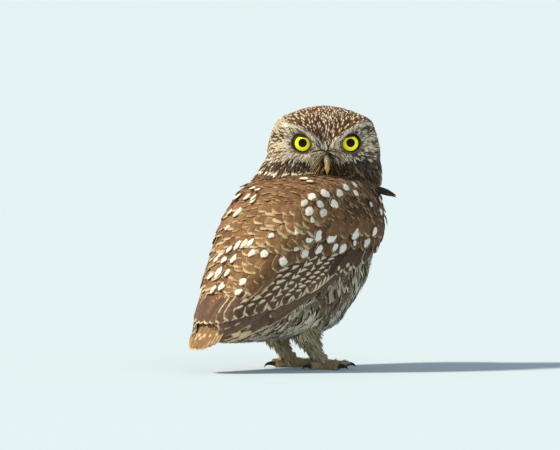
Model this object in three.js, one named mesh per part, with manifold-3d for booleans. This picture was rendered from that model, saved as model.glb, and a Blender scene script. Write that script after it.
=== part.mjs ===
// A little owl, life size, in millimetres: +X is the way the bird faces, +Y its left side, +Z up.
// It stands on both feet with its body pitched forward and its head turned to look back over the
// right shoulder. Everything hangs on one form, a stack of rounded slices from the nape to the tail.
import * as THREE from "three";
import { mergeVertices } from "three/addons/utils/BufferGeometryUtils.js";
import Module from "manifold-3d";

const wasm = await Module();
wasm.setup();

// Driving sizes.
const GAP = 0.3; // left between two pieces that touch
const SQUARENESS = 3; // of a body slice: 2 is an ellipse, more is boxier
const COAT_DEPTH = 7; // thickness of the folded wing and the mantle over the body
const VANE_THICKNESS = 0.8;
const HEAD_CENTRE = [23, 0]; // the neck's axis in plan
const HEAD_TURN = 233.5; // direction of the face in plan, degrees from +X
const EYE_SPACING = 35.5;
const EYE_HEIGHT = 167;
const EYE_RADIUS = 8.6;
const EYE_DEPTH = 26.2; // of the eye's centre in front of the neck's axis
const LID_RADIUS = 7.5;
const LID_THICKNESS = 1.3;
const LID_FORWARD = 5.6; // of the lid ring in front of the eye's centre
const BILL_TIP_HEIGHT = 143.8;
const FOOT_X = 4;
const FOOT_Y = 18;
const ANKLE_HEIGHT = 8.6;
const TAIL_ROOT = [-52, 47]; // x and z of the quills' roots
const TAIL_TIP = [-102, 14.5];
const TAIL_FEATHERS = 10;

// Slices of the form, top to bottom: back edge x and z, front edge x and z, half width.
const SLICES = [
  [8, 146, 42, 139, 24],
  [-10, 144, 50, 135, 40],
  [-26, 138, 55, 128, 47],
  [-38, 129, 59, 118, 50],
  [-47, 117, 62, 107, 51.5],
  [-55, 104, 61, 95, 51.5],
  [-62, 92, 56, 83, 49],
  [-69, 79, 48, 70, 45.5],
  [-76, 66, 40, 56, 41],
  [-82, 54, 31, 43, 36],
  [-88, 43, 22, 32, 32],
  [-92, 34, 0, 25.5, 27],
  [-95, 27, -28, 22, 21],
  [-96, 23, -52, 20.5, 15],
];
// Lower edge of the folded wing: slice number and angle round the slice from the back.
const WING_EDGE = [
  [0.6, 150],
  [3, 140],
  [5, 131],
  [6.3, 120],
  [7.2, 102],
  [8, 87],
  [8.7, 77],
  [10, 65],
  [11.2, 56],
  [12.5, 45],
];
const WING_TOP_ANGLE = 15; // where the wing meets the mantle
// Slices at which the coat and the body under it are drawn.
const COAT_SLICES = [0.6, 1.1, 1.7, 2.3, 3, 3.8, 4.8, 6, 7.2, 8.4, 9.4];
const BODY_SLICES = [2.1, 3, 3.8, 4.3, 4.8, 5.4, 6, 6.6, 7.2, 7.8, 8.4, 9, 9.7, 10.4, 11.1, 11.8, 12.4];

const FINISHES = {
  feather: { color: 0x7a5a3a, roughness: 0.85 },
  belly: { color: 0xcfc3a8, roughness: 0.9 },
  flight: { color: 0x4a3626, roughness: 0.8 },
  toe: { color: 0xb9a583, roughness: 0.85 },
  horn: { color: 0x2a2622, roughness: 0.35 },
  bill: { color: 0xb8a95c, roughness: 0.4 },
  iris: { color: 0xe8d51a, roughness: 0.1 },
};

const rad = THREE.MathUtils.degToRad;
const lerp = THREE.MathUtils.lerp;
const clamp = THREE.MathUtils.clamp;
const v3 = (x, y, z) => new THREE.Vector3(x, y, z);

// Value at x on straight lines through [x, y] pairs.
function along(pairs, x) {
  const last = pairs.length - 1;
  const i = clamp(pairs.findIndex((p) => p[0] >= x), 1, last);
  const [a, b] = x >= pairs[last][0] ? [pairs[last - 1], pairs[last]] : [pairs[i - 1], pairs[i]];
  return lerp(a[1], b[1], clamp((x - a[0]) / (b[0] - a[0]), 0, 1));
}

// The slice at a fractional number, on smooth curves through the listed ones.
function sliceAt(t) {
  const last = SLICES.length - 1;
  const i = clamp(Math.floor(t), 0, last - 1);
  const s = t - i;
  const at = (n) => SLICES[clamp(n, 0, last)];
  return SLICES[0].map((_, c) => {
    const [p, q, r, w] = [at(i - 1)[c], at(i)[c], at(i + 1)[c], at(i + 2)[c]];
    return q + 0.5 * s * (r - p + s * (2 * p - 5 * q + 4 * r - w + s * (3 * (q - r) + w - p)));
  });
}

// A point of the form: slice t, angle from the back towards the left side, drawn in by inset.
function form(t, angle, inset = 0) {
  const [bx, bz, fx, fz, half] = sliceAt(t);
  const c = Math.cos(rad(angle));
  const s = Math.sin(rad(angle));
  const n = Math.pow(Math.abs(c) ** SQUARENESS + Math.abs(s) ** SQUARENESS, -1 / SQUARENESS);
  const arm = v3(((bx - fx) / 2) * c * n, half * s * n, ((bz - fz) / 2) * c * n);
  arm.multiplyScalar(1 - inset / arm.length());
  return arm.add(v3((bx + fx) / 2, 0, (bz + fz) / 2));
}

function formNormal(t, angle) {
  const down = form(t + 0.05, angle).sub(form(t - 0.05, angle));
  const round = form(t, angle + 0.5).sub(form(t, angle - 0.5));
  return round.cross(down).normalize();
}

const wingEdge = (t) => along(WING_EDGE, t);
// How deep the wing's inner face lies at a share q of the way from its top edge to its lower edge.
const wingDepth = (q) => COAT_DEPTH - 1.5 * q ** 4;

// How far the body is drawn in from the form to leave room for the wings, mantle and tail.
function bodyInset(t, angle) {
  const turn = Math.abs(angle > 180 ? angle - 360 : angle);
  const edge = wingEdge(t);
  const q = clamp((turn - WING_TOP_ANGLE) / (edge - WING_TOP_ANGLE), 0, 1);
  const past = clamp((turn - edge - 14) / 30, 0, 1);
  const under = wingDepth(q) + 1.1;
  const rump = Math.max(0, t - 8.2) * 9 * Math.max(0, Math.cos(rad(turn)));
  return lerp(under, 0, past * past * (3 - 2 * past)) + rump;
}

// A closed mesh from rings of points, each ring closed by its own middle point at the two ends.
function loft(rings) {
  const points = rings.flat();
  const n = rings[0].length;
  const faces = [];
  for (let r = 0; r + 1 < rings.length; r++)
    for (let i = 0; i < n; i++) {
      const [a, b] = [r * n + i, r * n + ((i + 1) % n)];
      faces.push([a, b, b + n], [a, b + n, a + n]);
    }
  const middle = (ring) => ring.reduce((sum, p) => sum.add(p), v3(0, 0, 0)).divideScalar(n);
  const [first, last] = [points.length, points.length + 1];
  points.push(middle(rings[0]), middle(rings.at(-1)));
  const base = (rings.length - 1) * n;
  for (let i = 0; i < n; i++) {
    faces.push([first, (i + 1) % n, i]);
    faces.push([last, base + i, base + ((i + 1) % n)]);
  }
  return solid(points, faces);
}

// A manifold solid from points and triangles, turned the right way out.
function solid(points, faces) {
  const build = (list) =>
    new wasm.Manifold(
      new wasm.Mesh({
        numProp: 3,
        vertProperties: Float32Array.from(points.flatMap((p) => [p.x, p.y, p.z])),
        triVerts: Uint32Array.from(list.flat()),
      }),
    );
  const made = build(faces);
  return made.volume() < 0 ? build(faces.map(([a, b, c]) => [a, c, b])) : made;
}

// A three.js geometry as a manifold solid.
function solidOf(geometry) {
  const bare = geometry.clone();
  for (const name of ["normal", "uv"]) bare.deleteAttribute(name);
  const merged = mergeVertices(bare, 1e-4);
  const at = merged.attributes.position;
  const points = Array.from({ length: at.count }, (_, i) => v3().fromBufferAttribute(at, i));
  const index = merged.index.array;
  const faces = Array.from({ length: index.length / 3 }, (_, i) => [...index.slice(3 * i, 3 * i + 3)]);
  return solid(points, faces);
}

// The pieces joined, as one closed surface: the largest that the union leaves.
function join(pieces) {
  const bodies = wasm.Manifold.union(pieces).decompose();
  return bodies.reduce((big, b) => (b.volume() > big.volume() ? b : big));
}

const rows = (n, from, to) => Array.from({ length: n }, (_, i) => lerp(from, to, i / (n - 1)));

// A sheet on the form between two slices and two angles, from one inset to another.
function sheet(slices, angles, outer, inner) {
  const across = angles(slices[0]).length;
  const layer = (inset) => slices.flatMap((t) => angles(t).map((a) => form(t, a, inset(t, a))));
  const points = [...layer(outer), ...layer(inner)];
  const down = slices.length;
  const under = down * across;
  const faces = [];
  const quad = (a, b, c, d) => faces.push([a, b, c], [a, c, d]);
  for (let r = 0; r + 1 < down; r++)
    for (let c = 0; c + 1 < across; c++) {
      const i = r * across + c;
      quad(i, i + 1, i + 1 + across, i + across);
      quad(under + i, under + i + across, under + i + 1 + across, under + i + 1);
    }
  const rim = [
    ...Array.from({ length: across }, (_, c) => c),
    ...Array.from({ length: down - 1 }, (_, r) => (r + 2) * across - 1),
    ...Array.from({ length: across - 1 }, (_, c) => under - 2 - c),
    ...Array.from({ length: down - 2 }, (_, r) => (down - 2 - r) * across),
  ];
  rim.forEach((a, k) => {
    const b = rim[(k + 1) % rim.length];
    quad(a, a + under, b + under, b);
  });
  return solid(points, faces);
}

// Shape of a feather from quill to tip: share of the length, share of the width.
const ROUND_TIP = [
  [0, 0.4],
  [0.35, 0.9],
  [0.75, 1],
  [0.93, 0.62],
  [1, 0.18],
];

// A vane from quill to tip along a path(s) that gives a place and the way it faces.
function vane(path, width, { roll = 0, camber = 0.012, shape = ROUND_TIP } = {}) {
  const points = [];
  for (const [s, share] of shape) {
    const { at, up } = path(s);
    const ahead = path(Math.min(1, s + 0.02)).at.sub(path(Math.max(0, s - 0.02)).at).normalize();
    const side = up.clone().cross(ahead).normalize();
    const half = (width / 2) * share;
    for (const face of [0.5, -0.5])
      for (const edge of [-1, 0, 1]) {
        const rise = face * VANE_THICKNESS - camber * (edge * half) ** 2 + roll * edge * half;
        points.push(at.clone().addScaledVector(side, edge * half).addScaledVector(up, rise));
      }
  }
  const faces = [];
  const quad = (a, b, c, d) => faces.push([a, b, c], [a, c, d]);
  for (let k = 0; k + 1 < shape.length; k++) {
    const a = 6 * k;
    const b = a + 6;
    quad(a, a + 1, b + 1, b);
    quad(a + 2, b + 2, b + 1, a + 1);
    quad(a + 3, b + 3, b + 4, a + 4);
    quad(a + 5, a + 4, b + 4, b + 5);
    quad(a + 3, a, b, b + 3);
    quad(a + 2, a + 5, b + 5, b + 2);
  }
  const end = 6 * (shape.length - 1);
  quad(0, 3, 4, 1);
  quad(1, 4, 5, 2);
  quad(end, end + 1, end + 4, end + 3);
  quad(end + 1, end + 2, end + 5, end + 4);
  return solid(points, faces);
}

// A vane that follows the form from [slice, angle] at its quill to [slice, angle] at its tip.
function bodyVane(root, tip, side, width, { sink = 5.2, lift = 0.5, ...rest } = {}) {
  const path = (s) => {
    const t = lerp(root[0], tip[0], s);
    const angle = side * lerp(root[1], tip[1], s);
    const up = formNormal(t, angle);
    return { at: form(t, angle).addScaledVector(up, lerp(-sink, lift, s ** 0.7)), up };
  };
  return vane(path, width, rest);
}

// Tiers of the folded wing: how many, quills from one place to another, tips likewise, width.
const WING_TIERS = [
  { name: "primaries", count: 4, quill: [[6.9, 98], [7.2, 82]], tip: [[12.5, 44], [11.8, 38]],
    width: 13, lift: 0.2 },
  { name: "secondaries", count: 5, quill: [[6.6, 90], [6.2, 60]], tip: [[11.4, 45], [10.2, 27]],
    width: 17, lift: -1 },
  { name: "greater coverts", count: 5, quill: [[5.2, 118], [5.2, 72]], tip: [[7.5, 94], [8.4, 54]],
    width: 17, lift: 0.3 },
  { name: "median coverts", count: 5, quill: [[3.7, 126], [3.9, 68]], tip: [[5.9, 119], [6.7, 58]],
    width: 17, lift: 1.3 },
  { name: "scapulars", count: 4, quill: [[3, 52], [5.2, 31]], tip: [[7.2, 48], [10, 25]],
    width: 21, lift: 2.2 },
];

function wing(side) {
  const shares = rows(13, 0, 1);
  const top = WING_TOP_ANGLE + 1;
  const share = (t, a) => clamp((Math.abs(a) - top) / (wingEdge(t) - top), 0, 1);
  const slab = sheet(
    COAT_SLICES,
    (t) => shares.map((q) => side * lerp(top, wingEdge(t), q)),
    (t) => lerp(1, 3.6, clamp(t - 1, 0, 3) / 3),
    (t, a) => wingDepth(share(t, a)),
  );
  const vanes = WING_TIERS.flatMap(({ count, quill, tip, width, lift }) =>
    rows(count, 0, 1).map((q) => {
      const mix = ([a, b]) => [lerp(a[0], b[0], q), lerp(a[1], b[1], q)];
      return bodyVane(mix(quill), mix(tip), side, width, { lift, roll: side * 0.1 });
    }),
  );
  return join([slab, ...vanes]);
}

function mantle() {
  const shares = rows(5, -1, 1);
  const slab = sheet(
    COAT_SLICES,
    () => shares.map((q) => q * (WING_TOP_ANGLE - 0.4)),
    (t) => lerp(1, 3.2, clamp(t - 1, 0, 3) / 3),
    () => COAT_DEPTH,
  );
  const vanes = rows(7, 2, 8.4).flatMap((t, i) =>
    (i % 2 ? [-6, 6] : [0]).map((a) => bodyVane([t, a], [t + 2.4, a], 1, 16, { sink: 4.2, lift: 0.8 })),
  );
  return join([slab, ...vanes]);
}

// The body inside the coat, drawn in by a further inset and rounded off under the belly.
function torso(inset = 0) {
  const angles = rows(37, 0, 360).slice(0, -1);
  const ring = (t) => {
    const [bx, bz, fx, fz] = sliceAt(t);
    const middle = v3((bx + fx) / 2, 0, (bz + fz) / 2);
    const round = 1 - Math.sqrt(1 - clamp((t - 9.6) / 3.1, 0, 1) ** 3);
    return angles.map((a) => form(t, a, bodyInset(t, a) + inset).lerp(middle, round));
  };
  return loft(BODY_SLICES.map(ring));
}

// A swept body of round sections: [x, y, z, radius across, radius up] at each place.
function limb(places, sides = 14) {
  const rings = places.map(([x, y, z, across, up], i) => {
    const at = v3(x, y, z);
    const [before, after] = [places[Math.max(0, i - 1)], places[Math.min(places.length - 1, i + 1)]];
    const ahead = v3(after[0] - before[0], after[1] - before[1], after[2] - before[2]).normalize();
    const side = v3(0, 0, 1).cross(ahead);
    if (side.length() < 0.2) side.set(0, 1, 0);
    side.normalize();
    const lift = ahead.clone().cross(side);
    return rows(sides + 1, 0, 360)
      .slice(0, -1)
      .map((a) =>
        at.clone()
          .addScaledVector(side, across * Math.cos(rad(a)))
          .addScaledVector(lift, up * Math.sin(rad(a))),
      );
  });
  return loft(rings);
}

// Head slices, from the ruff to the crown: height, reach to the front, reach to the back, half width.
const HEAD_SLICES = [
  [147, 25, 30, 35],
  [149.5, 30, 34, 41],
  [154, 32, 37, 43.3],
  [160, 33, 38, 43.5],
  [167, 33, 37.5, 42.3],
  [174, 31.5, 35.5, 39.8],
  [181, 28, 31.5, 34.2],
  [187, 21.5, 25, 27.5],
  [191, 14, 17, 18],
  [193.3, 5, 6, 6.5],
];
const faceFrame = new THREE.Matrix4()
  .makeRotationZ(rad(HEAD_TURN))
  .setPosition(HEAD_CENTRE[0], HEAD_CENTRE[1], 0);
// A point given as forward of the neck's axis, to the bird's left, and up.
const onHead = (forward, left, up) => v3(forward, left, up).applyMatrix4(faceFrame);

function ball(radius, centre, detail = 18) {
  const geometry = new THREE.SphereGeometry(radius, detail, Math.round(detail * 0.6));
  geometry.translate(centre.x, centre.y, centre.z);
  return solidOf(geometry);
}

// The closed tail: quills side by side at the root, tips in a shallow fan, the middle pair on top.
function tail() {
  const root = v3(TAIL_ROOT[0], 0, TAIL_ROOT[1]);
  const tip = v3(TAIL_TIP[0], 0, TAIL_TIP[1]);
  const ahead = tip.clone().sub(root).normalize();
  const up = v3(0, 1, 0).cross(ahead).normalize();
  if (up.z < 0) up.negate();
  const length = tip.distanceTo(root);
  const quills = Array.from({ length: TAIL_FEATHERS }, (_, i) => i - (TAIL_FEATHERS - 1) / 2);
  const vanes = quills.map((n) => {
    const outward = Math.abs(n) / quills.at(-1);
    const path = (s) => ({
      at: root
        .clone()
        .addScaledVector(ahead, length * s * (1 - 0.06 * outward ** 2))
        .add(v3(0, n * lerp(1.6, 3.1, s), 0))
        .addScaledVector(up, -outward * 4.4 * s - 1.2 * Math.sin(Math.PI * s)),
      up,
    });
    return vane(path, 11.5, { roll: n < 0 ? -0.06 : 0.06 });
  });
  const at = (s, drop) => root.clone().addScaledVector(ahead, length * s).addScaledVector(up, drop);
  const base = [
    [-0.02, 9, 3.5, -1.5],
    [0.12, 11, 5, -3],
    [0.35, 11, 5.5, -4.5],
    [0.55, 9.5, 4, -4],
    [0.68, 6, 1.6, -2.8],
  ].map(([s, across, thick, drop]) => [...at(s, drop).toArray(), across, thick]);
  return join([limb(base), ...vanes]);
}

// A box that keeps what lies above, or below, a height.
function block(low, high) {
  return solidOf(new THREE.BoxGeometry(400, 400, high - low).translate(0, 0, (high + low) / 2));
}

// The leg, feathered to the toes: thigh, shank and ankle.
function leg(side) {
  const y = side * FOOT_Y;
  const whole = limb([
    [FOOT_X - 20, y * 0.92, 47, 17, 15],
    [FOOT_X - 18, y * 0.95, 37, 15, 14],
    [FOOT_X - 13, y, 28, 10.5, 11],
    [FOOT_X - 8, y, 19, 7, 7.6],
    [FOOT_X - 3, y, 11, 5.6, 5.8],
    [FOOT_X, y, 5, 5, 5],
  ]);
  return whole.subtract(block(-20, ANKLE_HEIGHT + GAP));
}

// Toes: direction in plan from straight ahead, outward; length; and which of them point back.
const TOES = [
  { name: "inner", turn: -16, length: 18.5 },
  { name: "middle", turn: 7, length: 20.5 },
  { name: "outer", turn: 84, length: 17 },
  { name: "back", turn: 170, length: 13 },
];
const TOE_RADIUS = 3.3;
const SOLE_DEPTH = 0.6; // how far each round toe is pressed flat by the ground
const CLAW_LENGTH = 10;
const CLAW_RADIUS = 1.5;

function toePath(side, { turn, length }) {
  const way = v3(Math.cos(rad(turn)), side * Math.sin(rad(turn)), 0);
  const start = v3(FOOT_X + 2, side * FOOT_Y, 0);
  return (s, z) => start.clone().addScaledVector(way, length * s).setZ(z);
}

// A toe from the foot's middle to the claw: share of its length, then shares of its radius: half
// width, half height and the height of its middle.
const TOE_SHAPE = [
  [0, 1, 1.15, 1.15],
  [0.3, 1, 1.15, 1.15],
  [0.58, 0.88, 0.92, 0.92],
  [0.85, 0.98, 1, 1],
  [1, 0.6, 0.62, 1],
];

// The foot: a pad under the ankle and four toes, each with a knuckle and a pad at its end.
function foot(side) {
  const toes = TOES.map((toe) => {
    const at = toePath(side, toe);
    const sections = TOE_SHAPE.map(([s, ...shares]) => {
      const [across, up, middle] = shares.map((share) => share * TOE_RADIUS);
      return [...at(s, middle - SOLE_DEPTH).toArray(), across, up];
    });
    return limb(sections, 8);
  });
  const y = side * FOOT_Y;
  const pad = limb([
    [FOOT_X + 3.2, y, -1, 5.2, 5.2],
    [FOOT_X + 2, y, 4, 5.6, 5.6],
    [FOOT_X + 1, y, 11, 5, 5],
  ]);
  return join([pad, ...toes]).subtract(block(-20, 0)).subtract(block(ANKLE_HEIGHT, 40));
}

// A claw: a curved spike that leaves the toe's end forwards and hooks down towards the floor.
function claw(side, toe) {
  const at = toePath(side, toe);
  const spike = rows(6, 0, 1).map((s) => {
    const reach = toe.length + 2 * GAP + CLAW_LENGTH * 0.9 * Math.sin((Math.PI / 2) * s * 0.86);
    const z = TOE_RADIUS - SOLE_DEPTH + 0.9 * Math.sin(Math.PI * s * 0.9) - 2.4 * s * s;
    const r = CLAW_RADIUS * (1 - s) ** 0.75 + 0.12;
    return [...at(reach / toe.length, z).toArray(), r, r * 1.15];
  });
  return limb(spike, 8);
}

// The neck: a collar as wide as the ruff, let in between the shoulders down to the body.
function neck() {
  const ring = (z, scale) =>
    rows(29, 0, 360)
      .slice(0, -1)
      .map((a) => onHead(28 * scale * Math.cos(rad(a)), 41 * scale * Math.sin(rad(a)), z));
  const collar = loft([ring(128, 0.8), ring(136, 0.94), ring(141, 1), ring(147 - GAP, 0.9)]);
  const coat = sheet(
    [COAT_SLICES[0] - 0.1, ...COAT_SLICES.slice(1, 6)],
    (t) => rows(37, -wingEdge(t) - 1.5, wingEdge(t) + 1.5),
    () => -1.6,
    () => COAT_DEPTH + 2 * GAP,
  );
  return collar.subtract(torso(-GAP)).subtract(coat);
}

// The bill in the head's frame: forward of the neck's axis, height over its tip, half sizes.
const UPPER_BILL = [
  [28, 11.5, 3.1, 3.4],
  [32, 11.4, 3.1, 3.4],
  [35.5, 10.6, 2.9, 3.3],
  [38.2, 8.6, 2.4, 2.9],
  [39.6, 5.6, 1.7, 2.1],
  [39.4, 2.6, 0.9, 1.2],
  [38.6, 0.3, 0.25, 0.3],
];
const LOWER_BILL = [
  [28, 6.6, 2.2, 1.5],
  [33, 5.8, 2.1, 1.4],
  [35.6, 4.6, 1.6, 1.1],
  [37.2, 3, 0.7, 0.6],
];

function bill(places, extra = 0) {
  return limb(
    places.map(([forward, up, across, thick]) => [
      ...onHead(forward, 0, BILL_TIP_HEIGHT + up).toArray(),
      across + extra,
      thick + extra,
    ]),
    12,
  );
}

// The upper bill with its two nostrils.
function billUpper() {
  const nostrils = [-1, 1].map((side) => ball(0.7, onHead(34.6, side * 2.7, BILL_TIP_HEIGHT + 12.2), 8));
  return nostrils.reduce((rest, hole) => rest.subtract(hole), bill(UPPER_BILL));
}

// One eyelid ring, standing proud of the face round the eye.
function lid({ centre }) {
  const geometry = new THREE.TorusGeometry(LID_RADIUS, LID_THICKNESS, 6, 18);
  geometry.rotateY(Math.PI / 2).scale(1.5, 1, 1).applyMatrix4(new THREE.Matrix4().extractRotation(faceFrame));
  const forward = onHead(LID_FORWARD, 0, 0).sub(onHead(0, 0, 0));
  return solidOf(geometry.translate(...centre.clone().add(forward).toArray()));
}

// The brow over an eye: a low ridge from the bill's root out to the side of the head.
function brow(side) {
  return limb(
    [
      [31.5, 3, 160, 1.5, 2.2],
      [32.8, 8, 168, 2, 2.6],
      [31.8, 15, 175.2, 2.2, 2.8],
      [27.5, 24, 178.6, 2, 2.6],
      [20, 31, 177, 1.2, 1.6],
    ].map(([f, l, z, across, up]) => [...onHead(f, side * l, z).toArray(), across, up]),
    6,
  );
}

const eyes = [["left", 1], ["right", -1]].map(([name, side]) => ({
  name,
  side,
  centre: onHead(EYE_DEPTH, (side * EYE_SPACING) / 2, EYE_HEIGHT),
}));

// The head with its brows and lids, its eye sockets and the seat of the bill.
function head() {
  const rings = HEAD_SLICES.map(([z, front, back, half]) =>
    rows(31, 0, 360)
      .slice(0, -1)
      .map((a) => {
        const [c, s] = [Math.cos(rad(a)), Math.sin(rad(a))];
        const power = c > 0 ? 2.6 : 2.2;
        const n = Math.pow(Math.abs(c) ** power + Math.abs(s) ** power, -1 / power);
        return onHead((c > 0 ? front : back) * c * n, half * s * n, z);
      }),
  );
  const skull = join([loft(rings), ...eyes.flatMap((eye) => [lid(eye), brow(eye.side)])]);
  const seats = [bill(UPPER_BILL, GAP), bill(LOWER_BILL, GAP)];
  const sockets = eyes.map(({ centre }) => ball(EYE_RADIUS + GAP, centre, 16));
  return [...seats, ...sockets].reduce((rest, hole) => rest.subtract(hole), skull);
}

const pieces = {
  head: [head(), "feather"],
  bill_upper: [billUpper(), "bill"],
  bill_lower: [bill(LOWER_BILL).subtract(bill(UPPER_BILL, GAP)), "bill"],
  neck: [neck(), "feather"],
  torso: [torso(), "belly"],
  mantle: [mantle(), "feather"],
  tail: [tail().subtract(torso(-GAP)), "flight"],
};
for (const { name, side, centre } of eyes) {
  pieces["eye_" + name] = [ball(EYE_RADIUS, centre, 16), "iris"];
  pieces["wing_" + name] = [wing(side), "feather"];
  pieces["leg_" + name] = [leg(side).subtract(torso(-GAP)), "belly"];
  pieces["foot_" + name] = [foot(side), "toe"];
  for (const toe of TOES) pieces["claw_" + name + "_" + toe.name] = [claw(side, toe), "horn"];
}

const group = new THREE.Group();
for (const [name, [piece, finish]] of Object.entries(pieces)) {
  const mesh = join([piece]).getMesh();
  const geometry = new THREE.BufferGeometry();
  geometry.setAttribute("position", new THREE.BufferAttribute(mesh.vertProperties, 3));
  geometry.setIndex(new THREE.BufferAttribute(mesh.triVerts, 1));
  geometry.computeVertexNormals();
  const made = new THREE.Mesh(geometry, new THREE.MeshStandardMaterial(FINISHES[finish]));
  made.name = name;
  group.add(made);
}
// The origin is the middle of the box that holds the bird, on the ground.
const box = new THREE.Box3().setFromObject(group);
group.position.set(-(box.min.x + box.max.x) / 2, -(box.min.y + box.max.y) / 2, -box.min.z);

export default group;
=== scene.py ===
"""A little owl, life size: skin, plumage, eyes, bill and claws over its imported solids.

Sizes are in millimetres, in the frame of the owl's own form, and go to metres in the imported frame
at the last step. The body and the folded wings hang on one form, a stack of rounded slices; the
head hangs on another. Feathers are thin closed vanes that follow the lie of the coat.
"""

from __future__ import annotations

import logging
import math
from collections.abc import Callable
from dataclasses import dataclass, field
from enum import Enum
from functools import partial

import bmesh
import bpy
import numpy as np
from bmesh.types import BMEdge, BMesh, BMFace
from bpy.types import ID, Material, Mesh, NodeSocket, NodeTree, Object
from mathutils import Matrix, Vector
from mathutils.bvhtree import BVHTree
from mathutils.kdtree import KDTree

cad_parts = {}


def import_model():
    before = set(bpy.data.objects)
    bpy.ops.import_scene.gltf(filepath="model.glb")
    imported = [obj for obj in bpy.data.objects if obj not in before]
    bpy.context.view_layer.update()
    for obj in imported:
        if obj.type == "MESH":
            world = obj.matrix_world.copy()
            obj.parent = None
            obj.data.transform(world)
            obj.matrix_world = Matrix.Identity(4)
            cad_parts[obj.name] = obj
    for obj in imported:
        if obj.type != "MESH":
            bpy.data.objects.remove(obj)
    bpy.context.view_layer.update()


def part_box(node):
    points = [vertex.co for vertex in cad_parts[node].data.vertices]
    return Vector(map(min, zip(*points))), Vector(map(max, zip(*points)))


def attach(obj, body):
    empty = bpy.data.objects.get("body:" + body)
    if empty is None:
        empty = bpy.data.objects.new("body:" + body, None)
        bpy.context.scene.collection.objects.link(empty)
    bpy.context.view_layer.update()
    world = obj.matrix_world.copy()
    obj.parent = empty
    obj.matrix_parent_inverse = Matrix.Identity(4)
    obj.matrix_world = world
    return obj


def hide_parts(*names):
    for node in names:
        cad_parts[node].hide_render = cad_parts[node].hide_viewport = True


Array = np.ndarray
Rng = np.random.Generator
Table = tuple[tuple[float, ...], ...]
Surface = Callable[[Array, Array], Array]
LOG = logging.getLogger("little_owl")
MM = 0.001
BODY = "root"
SEED = 7
BAKE_PATCH = 0.003  # side of one feather's patch on the bake map
LAST_SLICE = 14  # rows of the body's form, which share out the bake map


def linear(colour: str) -> tuple[float, float, float]:
    """Turn an sRGB hex colour to linear red, green and blue."""
    shares = (int(colour[i : i + 2], 16) / 255 for i in (1, 3, 5))
    return tuple(c / 12.92 if c <= 0.04045 else ((c + 0.055) / 1.055) ** 2.4 for c in shares)


def unit(vectors: Array) -> Array:
    """Scale vectors along the last axis to length one."""
    return vectors / np.maximum(np.linalg.norm(vectors, axis=-1, keepdims=True), 1e-9)


def smooth(low: float, high: float, value: Array) -> Array:
    """Rise softly from 0 at low to 1 at high."""
    share = np.clip((value - low) / (high - low), 0, 1)
    return share * share * (3 - 2 * share)


def toward(azimuth: float, elevation: float) -> Vector:
    """Direction to a place round the owl, in degrees from the front and over the floor."""
    around, lift = math.radians(azimuth), math.radians(elevation)
    return Vector((math.sin(around) * math.cos(lift), -math.cos(around) * math.cos(lift), math.sin(lift)))


def on_curve(table: Array, place: Array) -> Array:
    """Read a table of rows at fractional row numbers, on smooth curves through the rows.

    Args:
        table: rows of numbers.
        place: fractional row numbers, which may run a little past the ends.

    Returns:
        One row of numbers for each place.
    """
    last = len(table) - 1
    held = np.clip(place, 0, last)
    i = np.clip(np.floor(held).astype(int), 0, last - 1)
    s = (held - i)[..., None]
    p, q, r, w = (table[np.clip(i + k, 0, last)] for k in (-1, 0, 1, 2))
    return q + 0.5 * s * (r - p + s * (2 * p - 5 * q + 4 * r - w + s * (3 * (q - r) + w - p)))


class Side(Enum):
    """The owl's own left and right."""

    LEFT = 1
    RIGHT = -1

    @property
    def word(self) -> str:
        """The side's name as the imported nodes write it."""
        return self.name.lower()


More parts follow.
